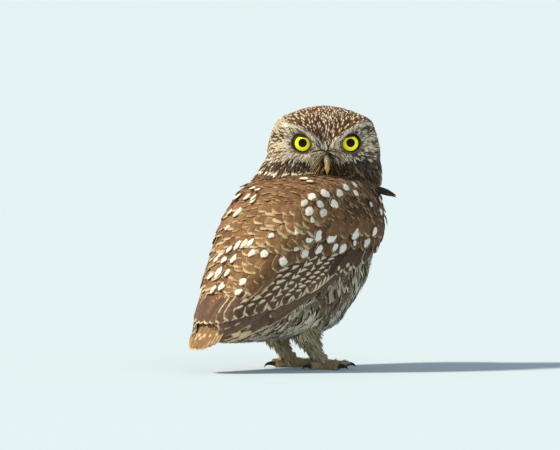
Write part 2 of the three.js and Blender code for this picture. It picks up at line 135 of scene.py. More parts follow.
@dataclass(frozen=True)
class Form:
    """The body with its folded wings, as slices from the nape to the tail.

    A place on it is a slice number and an angle in degrees from the back towards the left side.
    """

    slices: Table = (
        # back x and z, front x and z, half width
        (8, 146, 42, 139, 24),
        (-10, 144, 50, 135, 40),
        (-26, 138, 55, 128, 47),
        (-38, 129, 59, 118, 50),
        (-47, 117, 62, 107, 51.5),
        (-55, 104, 61, 95, 51.5),
        (-62, 92, 56, 83, 49),
        (-69, 79, 48, 70, 45.5),
        (-76, 66, 40, 56, 41),
        (-82, 54, 31, 43, 36),
        (-88, 43, 22, 32, 32),
        (-92, 34, 0, 25.5, 27),
        (-95, 27, -28, 22, 21),
        (-96, 23, -52, 20.5, 15),
    )
    squareness: float = 3.0
    wing_edge: Table = (
        # slice number, angle of the folded wing's lower edge
        (0.6, 150),
        (3, 140),
        (5, 131),
        (6.3, 120),
        (7.2, 102),
        (8, 87),
        (8.7, 77),
        (10, 65),
        (11.2, 56),
        (12.5, 45),
    )
    last_slice: float = 12.8

    def place(self, t: Array, angle: Array, inset: Array | float = 0.0) -> Array:
        """Find points of the form.

        Args:
            t: slice numbers; past the last slice the form runs on straight.
            angle: angles from the back, in degrees.
            inset: how far each point is drawn in towards its slice's middle.

        Returns:
            Points in millimetres.
        """
        t, angle = np.broadcast_arrays(np.asarray(t, float), np.asarray(angle, float))
        over = np.maximum(t - self.last_slice, 0)
        points = self._held(np.minimum(t, self.last_slice), angle, inset)
        if np.any(over > 0):
            back = self._held(np.full_like(t, self.last_slice - 0.5), angle, inset)
            end = self._held(np.full_like(t, self.last_slice), angle, inset)
            points = points + (end - back) * (over / 0.5)[..., None]
        return points

    def _held(self, t: Array, angle: Array, inset: Array | float) -> Array:
        """Find points of the form at slice numbers inside the table.

        Args:
            t, angle, inset: as place takes them.

        Returns:
            Points in millimetres.
        """
        bx, bz, fx, fz, half = np.moveaxis(on_curve(np.array(self.slices, float), t), -1, 0)
        c, s = np.cos(np.radians(angle)), np.sin(np.radians(angle))
        power = self.squareness
        n = (np.abs(c) ** power + np.abs(s) ** power) ** (-1 / power)
        arm = np.stack([(bx - fx) / 2 * c * n, half * s * n, (bz - fz) / 2 * c * n], -1)
        reach = np.linalg.norm(arm, axis=-1)
        arm = arm * (1 - inset / reach)[..., None]
        return arm + np.stack([(bx + fx) / 2, np.zeros_like(half), (bz + fz) / 2], -1)

    def normal(self, t: Array, angle: Array) -> Array:
        """Outward normals of the form."""
        down = self.place(t + 0.05, angle) - self.place(t - 0.05, angle)
        round_it = self.place(t, angle + 0.5) - self.place(t, angle - 0.5)
        return unit(np.cross(round_it, down))

    def edge(self, t: Array) -> Array:
        """Angle of the wing's lower edge at slice numbers."""
        at, angle = zip(*self.wing_edge)
        return np.interp(t, at, angle)


@dataclass(frozen=True)
class HeadForm:
    """The head as level slices, and the frame that turns it to look over the right shoulder."""

    axis_x: float = 23.0
    turn: float = 233.5
    slices: Table = (
        # height, reach to the front, reach to the back, half width
        (147, 25, 30, 35),
        (149.5, 30, 34, 41),
        (154, 32, 37, 43.3),
        (160, 33, 38, 43.5),
        (167, 33, 37.5, 42.3),
        (174, 31.5, 35.5, 39.8),
        (181, 28, 31.5, 34.2),
        (187, 21.5, 25, 27.5),
        (191, 14, 17, 18),
        (193.3, 5, 6, 6.5),
    )
    front_power: float = 2.6
    back_power: float = 2.2
    eye_spacing: float = 35.5
    eye_height: float = 167.0
    eye_depth: float = 26.2
    eye_radius: float = 8.6
    bill_tip_height: float = 143.8
    bill_root: tuple[float, float, float] = (34.0, 0.0, 157.0)
    middle_height: float = 165.0
    mean_radius: float = 40.0

    def to_body(self, points: Array) -> Array:
        """Turn points of forward, left and up to the form's frame."""
        c, s = math.cos(math.radians(self.turn)), math.sin(math.radians(self.turn))
        forward, left, up = np.moveaxis(np.asarray(points, float), -1, 0)
        return np.stack([self.axis_x + forward * c - left * s, forward * s + left * c, up], -1)

    def from_body(self, points: Array) -> Array:
        """Turn points of the form's frame to forward, left and up."""
        c, s = math.cos(math.radians(self.turn)), math.sin(math.radians(self.turn))
        x, y, up = np.moveaxis(np.asarray(points, float), -1, 0)
        x = x - self.axis_x
        return np.stack([x * c + y * s, y * c - x * s, up], -1)

    def direction(self, vectors: Array) -> Array:
        """Turn directions of forward, left and up to the form's frame."""
        return self.to_body(vectors) - self.to_body(np.zeros(3))

    def ring(
        self, z: float, front: float, back: float, left: float, right: float, count: int,
        powers: tuple[float, float] = (2.2, 2.2),
    ) -> Array:
        """Draw one level, rounded slice of head or neck.

        Args:
            z: its height.
            front, back, left, right: its reach to each side.
            count: how many points.
            powers: how square it is in front and behind.

        Returns:
            Points in the form's frame.
        """
        angle = np.linspace(0, 2 * np.pi, count, endpoint=False)
        c, s = np.cos(angle), np.sin(angle)
        power = np.where(c > 0, *powers)
        n = (np.abs(c) ** power + np.abs(s) ** power) ** (-1 / power)
        ahead, across = np.where(c > 0, front, back) * c * n, np.where(s > 0, left, right) * s * n
        return self.to_body(np.stack([ahead, across, np.full(count, z)], -1))

    def from_eye(self, left: Array, up: Array) -> Array:
        """Distance from the nearer eye's middle, as the face is seen from in front."""
        return np.hypot(np.abs(left) - self.eye_spacing / 2, up - self.eye_height)

    def eye(self, side: Side) -> Array:
        """Centre of an eye in the form's frame."""
        return self.to_body([self.eye_depth, side.value * self.eye_spacing / 2, self.eye_height])


def brow_height(left: Array) -> Array:
    """Height of the white brow's line at a distance to the side of the face's middle."""
    return np.interp(np.abs(left), (0, 6, 20, 26, 33), (159.0, 166.8, 178.4, 180.6, 182))


@dataclass
class Placing:
    """Takes millimetres of the form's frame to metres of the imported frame."""

    shift: Array

    @classmethod
    def from_frame(cls, head: HeadForm) -> Placing:
        """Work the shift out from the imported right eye."""
        low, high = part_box("eye_right")
        centre = (np.array(low) + np.array(high)) / 2 / MM
        shift = centre - head.eye(Side.RIGHT)
        return cls(shift=np.array([shift[0], shift[1], 0.0]))

    def metres(self, points: Array) -> Array:
        """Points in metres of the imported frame."""
        return (np.asarray(points, float) + self.shift) * MM


def finish_piece(
    piece: Object, slot: str, material: Material, *solids: str
) -> Object:
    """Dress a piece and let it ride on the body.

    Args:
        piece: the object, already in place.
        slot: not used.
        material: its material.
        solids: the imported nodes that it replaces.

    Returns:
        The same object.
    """
    piece.data.materials.clear()
    piece.data.materials.append(material)
    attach(piece, BODY)
    if solids:
        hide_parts(*solids)
    LOG.info("%s: %d faces", piece.name, len(piece.data.polygons))
    return piece


def linked(name: str, data: ID) -> Object:
    """Make an object of a mesh, a light or a camera and put it in the scene."""
    made = bpy.data.objects.new(name, data)
    bpy.context.scene.collection.objects.link(made)
    return made


def object_from(bm: BMesh, name: str) -> Object:
    """Make a smooth-shaded object of a bmesh and free the bmesh.

    Args:
        bm: the shape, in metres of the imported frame.
        name: the piece's name.

    Returns:
        The new object.
    """
    mesh = bpy.data.meshes.new(name)
    bmesh.ops.recalc_face_normals(bm, faces=bm.faces)
    bm.to_mesh(mesh)
    bm.free()
    mesh.polygons.foreach_set("use_smooth", [True] * len(mesh.polygons))
    return linked(name, mesh)


def fused(bm: BMesh, name: str, voxel: float, rounds: int) -> Object:
    """Join the overlapping parts in a bmesh to one softened skin.

    Args:
        bm: the parts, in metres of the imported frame.
        name: the piece's name.
        voxel: size of the grid that joins them, in millimetres.
        rounds: how often the skin is smoothed.

    Returns:
        The new object.
    """
    made = object_from(bm, name)
    join = made.modifiers.new("fuse", "REMESH")
    join.mode = "VOXEL"
    join.voxel_size = voxel * MM
    made.modifiers.new("soften", "SMOOTH").iterations = rounds
    whole = made.evaluated_get(bpy.context.evaluated_depsgraph_get())
    mesh = bpy.data.meshes.new_from_object(whole)
    made.modifiers.clear()
    made.data = mesh
    mesh.polygons.foreach_set("use_smooth", [True] * len(mesh.polygons))
    return made


def paint(mesh: Mesh, name: str, channels: list[Array], size: int = 1) -> None:
    """Write one colour attribute, alike over each run of size vertices."""
    values = np.repeat(np.stack(channels, -1), size, axis=0).astype(np.float32)
    mesh.attributes.new(name, "FLOAT_COLOR", "POINT").data.foreach_set("color", values.ravel())


def loft(bm: BMesh, placing: Placing, rings: list[Array]) -> None:
    """Bridge rings of points into one closed skin with capped ends.

    Args:
        bm: takes the skin.
        placing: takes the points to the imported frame.
        rings: rings of equally many points.
    """
    count = len(rings[0])
    edges: list[BMEdge] = []
    for number, ring in enumerate(rings):
        capped = number in (0, len(rings) - 1)
        made = bmesh.ops.create_circle(bm, cap_ends=capped, segments=count, radius=1.0)
        for vertex, point in zip(made["verts"], placing.metres(ring)):
            vertex.co = point
        if number:
            loops = edges + list({e for v in made["verts"] for e in v.link_edges})
            bmesh.ops.bridge_loops(bm, edges=loops)
        edges = [e for e in {e for v in made["verts"] for e in v.link_edges}
                 if all(v in set(made["verts"]) for v in e.verts)]


def limb_rings(stations: Array, count: int, steps: int) -> list[Array]:
    """Round rings along a limb.

    Args:
        stations: rows of x, y, z, radius across and radius up.
        count: points in a ring.
        steps: how many rings.

    Returns:
        Rings of points in millimetres.
    """
    rows = on_curve(np.asarray(stations, float), np.linspace(0, len(stations) - 1, steps))
    ahead = unit(np.gradient(rows[:, :3], axis=0))
    across = np.cross([0.0, 0.0, 1.0], ahead)
    across[np.linalg.norm(across, axis=1) < 0.2] = (0.0, 1.0, 0.0)
    across = unit(across)
    up = np.cross(ahead, across)
    angle = np.linspace(0, 2 * np.pi, count, endpoint=False)
    return [
        row[:3] + row[3] * np.outer(np.cos(angle), a) + row[4] * np.outer(np.sin(angle), u)
        for row, a, u in zip(rows, across, up)
    ]


def limb(name: str, placing: Placing, stations: Array, count: int, steps: int) -> Object:
    """Make an object of one limb.

    Args:
        name: the piece's name.
        placing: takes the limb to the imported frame.
        stations: rows of x, y, z, radius across and radius up.
        count: points in a ring.
        steps: how many rings.

    Returns:
        The new object.
    """
    bm = bmesh.new()
    loft(bm, placing, limb_rings(stations, count, steps))
    return object_from(bm, name)


def over_limb(
    line: Array, rows: Array, count: int, reach: tuple[float, float], spread: float,
    length: tuple[float, float], splay: float, rng: Rng,
) -> tuple[Array, Array, Array]:
    """Lay short spines over a limb, pointing along it.

    Args:
        line: the limb's stations.
        rows: shares of the length at which each spine is drawn.
        count: how many.
        reach: first and last fractional station of the roots.
        spread: how far round from the top the roots lie, in degrees.
        length: shortest and longest.
        splay: how much the spines stand away from the limb.
        rng: seeded draws.

    Returns:
        Spines, normals and a place on the limb's own unwrap, from 0 to 1 each way.
    """
    place = rng.uniform(*reach, count)
    turn = np.radians(rng.uniform(-spread, spread, count))
    station = on_curve(line, place)
    ahead = unit(on_curve(line, place + 0.05)[:, :3] - on_curve(line, place - 0.05)[:, :3])
    across = unit(np.cross([0.0, 0.0, 1.0], ahead))
    up = np.cross(ahead, across)
    out = up * np.cos(turn)[:, None] + across * np.sin(turn)[:, None]
    wide = np.stack([station[:, 4] * np.cos(turn), station[:, 3] * np.sin(turn)], -1)
    root = station[:, :3] + out * (np.linalg.norm(wide, axis=1, keepdims=True) - 0.4)
    way = unit(ahead + out * splay + rng.normal(0, 0.14, (count, 3)))
    spans = rows[None, :, None] * rng.uniform(*length, count)[:, None, None]
    spine = root[:, None] + way[:, None] * spans - out[:, None] * (splay * 0.6 * rows[None, :, None] * spans)
    spine[..., 2] = np.maximum(spine[..., 2], 0.6)
    chart = np.stack([place / len(line), turn / (2 * np.pi) + 0.5], -1)
    return spine, np.repeat(out[:, None], len(rows), 1), chart


def add_node(
    tree: NodeTree, kind: str, *values: object, named: dict[str | int, object] | None = None,
    **settings: object,
) -> NodeSocket | None:
    """Add a shader node with its inputs and settings.

    Args:
        tree: the material's node tree.
        kind: the node's type without its ShaderNode prefix and its mode after a full stop, or
            the operation alone, in capitals, of a Math node.
        values: its inputs in order, each a number, a vector, a hex colour, a socket to link, or
            None to leave.
        named: inputs by name or number.
        settings: its own settings.

    Returns:
        Its first output. The node is that socket's node.
    """
    kind, _, mode = (f"Math.{kind}" if kind.isupper() else kind).partition(".")
    node = tree.nodes.new("ShaderNode" + kind)
    if mode:
        settings["interpolation_type" if kind == "MapRange" else "operation"] = mode
    for name, value in settings.items():
        setattr(node, name, value)
    for key, value in [*enumerate(values), *(named or {}).items()]:
        if isinstance(value, NodeSocket):
            tree.links.new(value, node.inputs[key])
        elif value is not None:
            node.inputs[key].default_value = (*linear(value), 1) if isinstance(value, str) else value
    return node.outputs[0] if node.outputs else None


def new_material(name: str) -> tuple[Material, Callable[..., NodeSocket]]:
    """Make a material without nodes, and give it with its own add_node."""
    material = bpy.data.materials.new(name)
    material.use_nodes = True
    material.node_tree.nodes.clear()
    return material, partial(add_node, material.node_tree)


@dataclass(frozen=True)
class FeatherKeratin:
    """Feather vanes: matt keratin barbs, ruled along their slant, with markings from each feather.

    Tone holds the ground colour and the vane's length over its half width, Rim the colour of the
    fringe and spots and the fringe's width, Marks the number of notches and the shaft streak, and
    Spots the size, place along, place across and length of the web spots.
    """

    name: str = "feather_keratin"
    streak: str = "#3C2A1C"
    notch: str = "#E2D2B2"
    roughness: float = 0.8
    barb_turns: float = 26.0  # barbs 1.2 mm apart on a 10 mm vane; real ones are too fine to show
    mottle_scale: float = 300.0  # blotches of 3 mm

    def make(self) -> Material:
        """Build the material.

        Returns:
            The material.
        """
        material, add = new_material(self.name)
        split = add("SeparateXYZ", add("UVMap", uv_map="Vane"))
        along = split.node.outputs[1]
        signed = add("MULTIPLY_ADD", split, 2, -1)
        across = add("ABSOLUTE", signed)
        tone, rim, marks, spots = (
            add("Attribute", attribute_name=name) for name in ("Tone", "Rim", "Marks", "Spots")
        )
        aspect, rim_width, spot_length = (layer.node.outputs["Alpha"] for layer in (tone, rim, spots))
        bars, streak = add("SeparateColor", marks).node.outputs[:2]
        spot_size, spot_at, spot_side = add("SeparateColor", spots).node.outputs[:3]
        where = add("TexCoord").node.outputs["Object"]
        mottle = add("TexNoise", where, named={"Scale": self.mottle_scale, "Detail": 4})
        slant = add("MULTIPLY_ADD", across, -0.9, add("MULTIPLY", along, aspect))
        barbs = add("SINE", add("MULTIPLY", slant, self.barb_turns / 4))

        # Ground: darker along the shaft and towards the quill, blotched, ruled by the barbs.
        ruled = add("MULTIPLY_ADD", barbs, 0.06, add("MULTIPLY_ADD", mottle, 0.9, 0.56))
        shaft = add("MapRange", across, 0, 0.85, 0.78, 1.1)
        length_shade = add("MapRange", along, 0.4, 1, 0.8, 1.08)
        shade = add("MULTIPLY", ruled, add("MULTIPLY", shaft, length_shade))

        # Fringe: a soft broken edge with a darker band inside it.
        left_over = add("MULTIPLY", add("SUBTRACT", 1, along), aspect)
        tipness = add("MapRange.SMOOTHSTEP", left_over, 0, 1.3, 1, 0)
        sides = add("MULTIPLY", across, add("MapRange", along, 0.1, 0.7, 0.6, 1))
        rimward = add("ADD", add("MAXIMUM", tipness, sides), rim_width)
        rimward = add("MULTIPLY_ADD", barbs, 0.02, add("MULTIPLY_ADD", mottle, 0.22, rimward))
        shade = add("MULTIPLY", shade, add("MapRange.SMOOTHSTEP", rimward, 0.84, 1.04, 1, 0.8))
        colour = add("VectorMath.SCALE", tone, named={3: shade})
        fringed = add("MapRange.SMOOTHSTEP", rimward, 1.02, 1.2, 0, 0.9)
        fringed = add("MULTIPLY", fringed, add("GREATER_THAN", rim_width, 0.01))
        colour = add("MixRGB", fringed, colour, rim)

        # Shaft streak, widening towards the tip.
        spread = add("MULTIPLY", streak, add("MULTIPLY_ADD", mottle, 0.8, 0.6))
        edge = add("MULTIPLY", spread, add("MapRange", along, 0.2, 0.7, 0.5, 1))
        streaked = add("MapRange.SMOOTHSTEP", add("SUBTRACT", across, edge), -0.1, 0.05, 1, 0)
        streaked = add("MULTIPLY", streaked, add("GREATER_THAN", streak, 0.02))
        colour = add("MixRGB", streaked, colour, self.streak)

        # Pale notches in the webs of flight feathers, in rows.
        slanted = add("MULTIPLY_ADD", across, -0.12, along)
        turns = add("MULTIPLY", add("MULTIPLY", bars, 20), slanted)
        from_bar = add("ABSOLUTE", add("SUBTRACT", add("FRACT", turns), 0.5))
        reach = add("MapRange", across, 0.06, 0.4, -0.06, 0.3)
        reach = add("ADD", reach, add("MULTIPLY_ADD", mottle, 0.5, -0.25))
        barred = add("MapRange.SMOOTHSTEP", add("SUBTRACT", reach, from_bar), -0.03, 0.05, 0, 0.9)
        short_of_tip = add("MapRange", along, 0.88, 0.92, 1, 0)
        has_bars = add("GREATER_THAN", bars, 0.02)
        barred = add("MULTIPLY", barred, add("MULTIPLY", has_bars, short_of_tip))
        colour = add("MixRGB", barred, colour, self.notch)

        # White web spots: one at a place across the vane, or a pair where that place is past the rim.
        paired = add("GREATER_THAN", spot_side, 1.5)
        sideways = add("MULTIPLY_ADD", paired, add("SUBTRACT", across, signed), signed)
        sideways = add("SUBTRACT", sideways, add("MULTIPLY_ADD", paired, -1.5, spot_side))
        lengthways = add("MULTIPLY", add("SUBTRACT", along, spot_at), aspect)
        lengthways = add("DIVIDE", lengthways, spot_length)
        squares = add("MULTIPLY", lengthways, lengthways)
        away = add("SQRT", add("MULTIPLY_ADD", sideways, sideways, squares))
        size = add("MULTIPLY_ADD", add("MULTIPLY_ADD", mottle, 0.8, -0.4), spot_size, spot_size)
        spotted = add("MapRange.SMOOTHSTEP", add("SUBTRACT", size, away), -0.1, 0.14, 0, 1)
        spotted = add("MULTIPLY", spotted, add("GREATER_THAN", spot_size, 0.02))
        colour = add("MixRGB", spotted, colour, rim)

        # Grown keratin split into barbs scatters light all ways: a matt face with a faint soft sheen.
        relief = add("Bump", named={"Strength": 0.25, "Distance": 0.0003, "Height": barbs})
        shader = add("BsdfPrincipled", named={
            "Base Color": colour, "Roughness": self.roughness, "Specular IOR Level": 0.2,
            "Sheen Weight": 0.08, "Sheen Roughness": 0.5, "Normal": relief,
        })
        add("OutputMaterial", shader)
        return material


@dataclass(frozen=True)
class SkinDown:
    """Skin under the coat: soft down in the coat's own colours, seen only between feathers."""

    name: str = "skin_down"
    roughness: float = 0.95
    tufts: float = 420.0  # tufts drawn 2.4 mm wide; real down is too fine to show

    def make(self) -> Material:
        """Build the material.

        Returns:
            The material.
        """
        material, add = new_material(self.name)
        tone = add("Attribute", attribute_name="Tone")
        where = add("TexCoord").node.outputs["Object"]
        mottle = add("TexNoise", where, named={"Scale": self.tufts, "Detail": 4})
        shade = add("MULTIPLY_ADD", mottle, 0.9, 0.35)
        colour = add("VectorMath.SCALE", tone, named={3: shade})
        # Loose grown down holds the light: dull, soft shade in the gaps between feathers.
        relief = add("Bump", named={"Strength": 0.6, "Distance": 0.0008, "Height": mottle})
        shader = add("BsdfPrincipled", named={
            "Base Color": colour, "Roughness": self.roughness, "Specular IOR Level": 0.1, "Normal": relief,
        })
        add("OutputMaterial", shader)
        return material


@dataclass(frozen=True)
class Horn:
    """Keratin of the bill and claws: smooth, dense horn that darkens or pales towards its tip."""

    name: str
    root: str
    tip: str
    start: tuple[float, float, float]
    end: tuple[float, float, float]
    roughness: float = 0.32
    grain: float = 700.0  # growth grain drawn 1.4 mm wide; the real one is too fine to show

    def make(self) -> Material:
        """Build the material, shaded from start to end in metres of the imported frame.

        Returns:
            The material.
        """
        material, add = new_material(self.name)
        where = add("TexCoord").node.outputs["Object"]
        way = Vector(self.end) - Vector(self.start)
        from_start = add("VectorMath.SUBTRACT", where, tuple(self.start))
        dot = add("VectorMath.DOT_PRODUCT", from_start, tuple(way / way.length_squared)).node.outputs["Value"]
        grain = add("TexNoise", where, named={"Scale": self.grain, "Detail": 3})
        uneven = add("MULTIPLY_ADD", grain, 0.3, dot)
        share = add("MapRange.SMOOTHSTEP", uneven, 0.35, 0.95, 0, 1)
        colour = add("MixRGB", share, self.root, self.tip)
        # Grown in dense layers and worn smooth: a narrow soft highlight along the curve.
        relief = add("Bump", named={"Strength": 0.15, "Distance": 0.0002, "Height": grain})
        shader = add("BsdfPrincipled", named={
            "Base Color": colour, "Roughness": self.roughness, "Specular IOR Level": 0.5, "Normal": relief,
        })
        add("OutputMaterial", shader)
        return material


@dataclass(frozen=True)
class WetEye:
    """The eye: a yellow iris with fine spokes and a round pupil, under a wet clear surface.

    The Gaze map holds the angle from the gaze, as a share of a half turn, and the turn round it.
    """

    name: str = "wet_eye"
    iris: str = "#FFF228"
    iris_rim: str = "#E8D41C"
    dark: str = "#0B0908"
    pupil_angle: float = 20.8
    iris_angle: float = 45.0
    spokes: float = 60.0  # folds round the iris, 0.5 mm apart; real ones are too fine to show

    def make(self) -> Material:
        """Build the material.

        Returns:
            The material.
        """
        material, add = new_material(self.name)
        split = add("SeparateXYZ", add("UVMap", uv_map="Gaze"))
        angle = add("MULTIPLY", split, 180)
        turn = split.node.outputs[1]
        spokes = add("TexNoise", add("CombineXYZ", add("MULTIPLY", turn, self.spokes), 0, 0),
                     named={"Scale": 1.0, "Detail": 2.0})
        outward = add("MapRange", angle, self.pupil_angle, self.iris_angle, 0, 1)
        rimward = add("MapRange.SMOOTHSTEP", outward, 0.6, 1, 0, 1)
        yellow = add("MixRGB", rimward, self.iris, self.iris_rim)
        # The spokes mottle the yellow, and the iris is painted 1.2 to 1.5 times brighter than its own colour:
        # painted light standing in for full sun on the eye.
        shade = add("MULTIPLY_ADD", spokes, 0.3, 1.2)
        yellow = add("VectorMath.SCALE", yellow, named={3: shade})
        pupil = add("MapRange", angle, self.pupil_angle - 1, self.pupil_angle + 1, 1, 0)
        limbus = add("MapRange", angle, self.iris_angle - 2.5, self.iris_angle + 0.5, 0, 1)
        dark = add("MAXIMUM", pupil, limbus)
        colour = add("MixRGB", dark, yellow, self.dark)
        # A film of tears on the clear cornea: one small sharp glint over deep, even yellow.
        shader = add("BsdfPrincipled", named={
            "Base Color": colour, "Roughness": 0.35, "Specular IOR Level": 0.08, "IOR": 1.38,
            "Coat Weight": 0.2, "Coat Roughness": 0.02,
        })
        add("OutputMaterial", shader)
        return material


@dataclass(frozen=True)
class BareSkin:
    """Bare skin of lids and soles: fine, dry, slightly pebbled."""

    name: str
    colour: str
    roughness: float = 0.5
    pebbles: float = 900.0  # scales drawn 1.1 mm wide; real ones are too fine to show

    def make(self) -> Material:
        """Build the material.

        Returns:
            The material.
        """
        material, add = new_material(self.name)
        where = add("TexCoord").node.outputs["Object"]
        cells = add("TexVoronoi", where, named={"Scale": self.pebbles})
        shade = add("MULTIPLY_ADD", cells, 0.7, 0.7)
        colour = add("VectorMath.SCALE", linear(self.colour), named={3: shade})
        # Dry skin grown in small scales: a dull, broken shine.
        relief = add("Bump", named={"Strength": 0.5, "Distance": 0.0003, "Height": cells})
        shader = add("BsdfPrincipled", named={
            "Base Color": colour, "Roughness": self.roughness, "Specular IOR Level": 0.4, "Normal": relief,
        })
        add("OutputMaterial", shader)
        return material


@dataclass
class Looks:
    """Markings of many feathers, one row for each."""

    tone: Array
    rim: Array
    fringe: Array
    spot: Array
    spot_at: Array
    spot_side: Array
    spot_long: Array
    bars: Array
    streak: Array

    def tint(self, *layers: tuple[Array, str, float]) -> None:
        """Mix ground colours in, one after the other.

        Args:
            layers: for each, which feathers take it, the colour and its share.
        """
        for where, colour, share in layers:
            self.tone[where] += (np.array(linear(colour)) - self.tone[where]) * share


Repaint = Callable[[Looks, Array, Array, Rng], None]


@dataclass(frozen=True)
class Look:
    """How the feathers of one tract are marked; numbers are shares of a feather's half width."""

    tones: tuple[str, str]
    rim: str = "#C2A47C"
    fringe: float = 0.1
    fringe_spread: float = 0.06
    spot: float = 0.0
    spotted: float = 1.0
    spot_at: float = 0.84
    spot_side: float = 2.0
    spot_long: float = 1.0
    bars: float = 0.0
    streak: float = 0.0
    streak_spread: float = 0.3

    def draw(self, count: int, rng: Rng) -> Looks:
        """Draw the markings of feathers.

        Args:
            count: how many feathers.
            rng: seeded draws.

        Returns:
            Their markings.
        """
        low, high = (np.array(linear(tone)) for tone in self.tones)
        share = rng.random((count, 1))
        carries = rng.random(count) < self.spotted
        return Looks(
            tone=low + (high - low) * share,
            rim=np.tile(linear(self.rim), (count, 1)) * rng.uniform(0.8, 1.1, (count, 1)),
            fringe=np.maximum(self.fringe + self.fringe_spread * rng.uniform(-1, 1, count), 0)
            * (self.fringe > 0),
            spot=self.spot * carries * rng.uniform(0.8, 1.15, count),
            spot_at=self.spot_at + rng.uniform(-0.03, 0.03, count),
            spot_side=np.full(count, self.spot_side),
            spot_long=np.full(count, self.spot_long),
            bars=np.full(count, self.bars / 20),
            streak=self.streak * (1 + self.streak_spread * rng.uniform(-1, 1, count)),
        )


@dataclass(frozen=True)
class VaneShape:
    """A feather's vane: share of its length and share of its width, from quill to tip."""

    outline: Table
    across: int = 2
    camber: float = 0.16
    thickness: float = 0.35  # mm, at the shaft
    ragged: float = 0.07

    @property
    def rows(self) -> Array:
        """Share of the length at which each row of the vane lies."""
        return np.array([place for place, _ in self.outline])

    def template(self) -> tuple[Array, Array, Array, Array]:
        """Make one closed vane.

        Returns:
            Row, place across from -1 to 1 and face (1 over, -1 under, 0 at the rim) of each
            vertex, and the vertices of each face.
        """
        rows = len(self.outline) - 1
        bm = bmesh.new()
        bmesh.ops.create_grid(bm, x_segments=self.across, y_segments=rows, size=1.0)
        rim = {v for v in bm.verts if v.is_boundary}
        under = bmesh.ops.duplicate(bm, geom=bm.verts[:] + bm.edges[:] + bm.faces[:])
        back = [f for f in under["geom"] if isinstance(f, BMFace)]
        bmesh.ops.reverse_faces(bm, faces=back)
        lower = {v for f in back for v in f.verts}
        for vertex in bm.verts:
            if vertex not in rim and not vertex.is_boundary:
                vertex.co.z = -1.0 if vertex in lower else 1.0
        bmesh.ops.remove_doubles(bm, verts=bm.verts, dist=1e-4)
        bm.verts.index_update()
        co = np.array([v.co for v in bm.verts])
        faces = np.array([[v.index for v in f.verts] for f in bm.faces])
        bm.free()
        row = np.rint((co[:, 1] + 1) / 2 * rows).astype(int)
        return row, co[:, 0], co[:, 2], faces


CONTOUR = VaneShape(
    outline=((0, 0.3), (0.3, 0.8), (0.62, 1.0), (0.84, 0.88), (0.95, 0.58), (1, 0.22)), across=4
)
SMALL = VaneShape(outline=((0, 0.35), (0.4, 0.95), (0.8, 0.85), (1, 0.25)), thickness=0.25)
PLUME = VaneShape(outline=((0, 0.4), (0.35, 1.0), (0.7, 0.8), (1, 0.12)), thickness=0.25)
FLIGHT = VaneShape(
    outline=((0, 0.3), (0.15, 0.75), (0.35, 0.95), (0.6, 1.0), (0.82, 0.97), (0.93, 0.76), (1, 0.28)),
    across=4, camber=0.12, thickness=0.5, ragged=0.025,
)
BRISTLE = VaneShape(outline=((0, 1.0), (0.35, 0.75), (0.7, 0.45), (1, 0.08)), camber=0.0, thickness=0.2)


@dataclass
class Feathers:
    """Spines of many feathers: points and normals down each vane, widths, rolls and markings."""

    spine: Array
    normal: Array
    width: Array
    roll: Array
    looks: Looks
    chart: Array


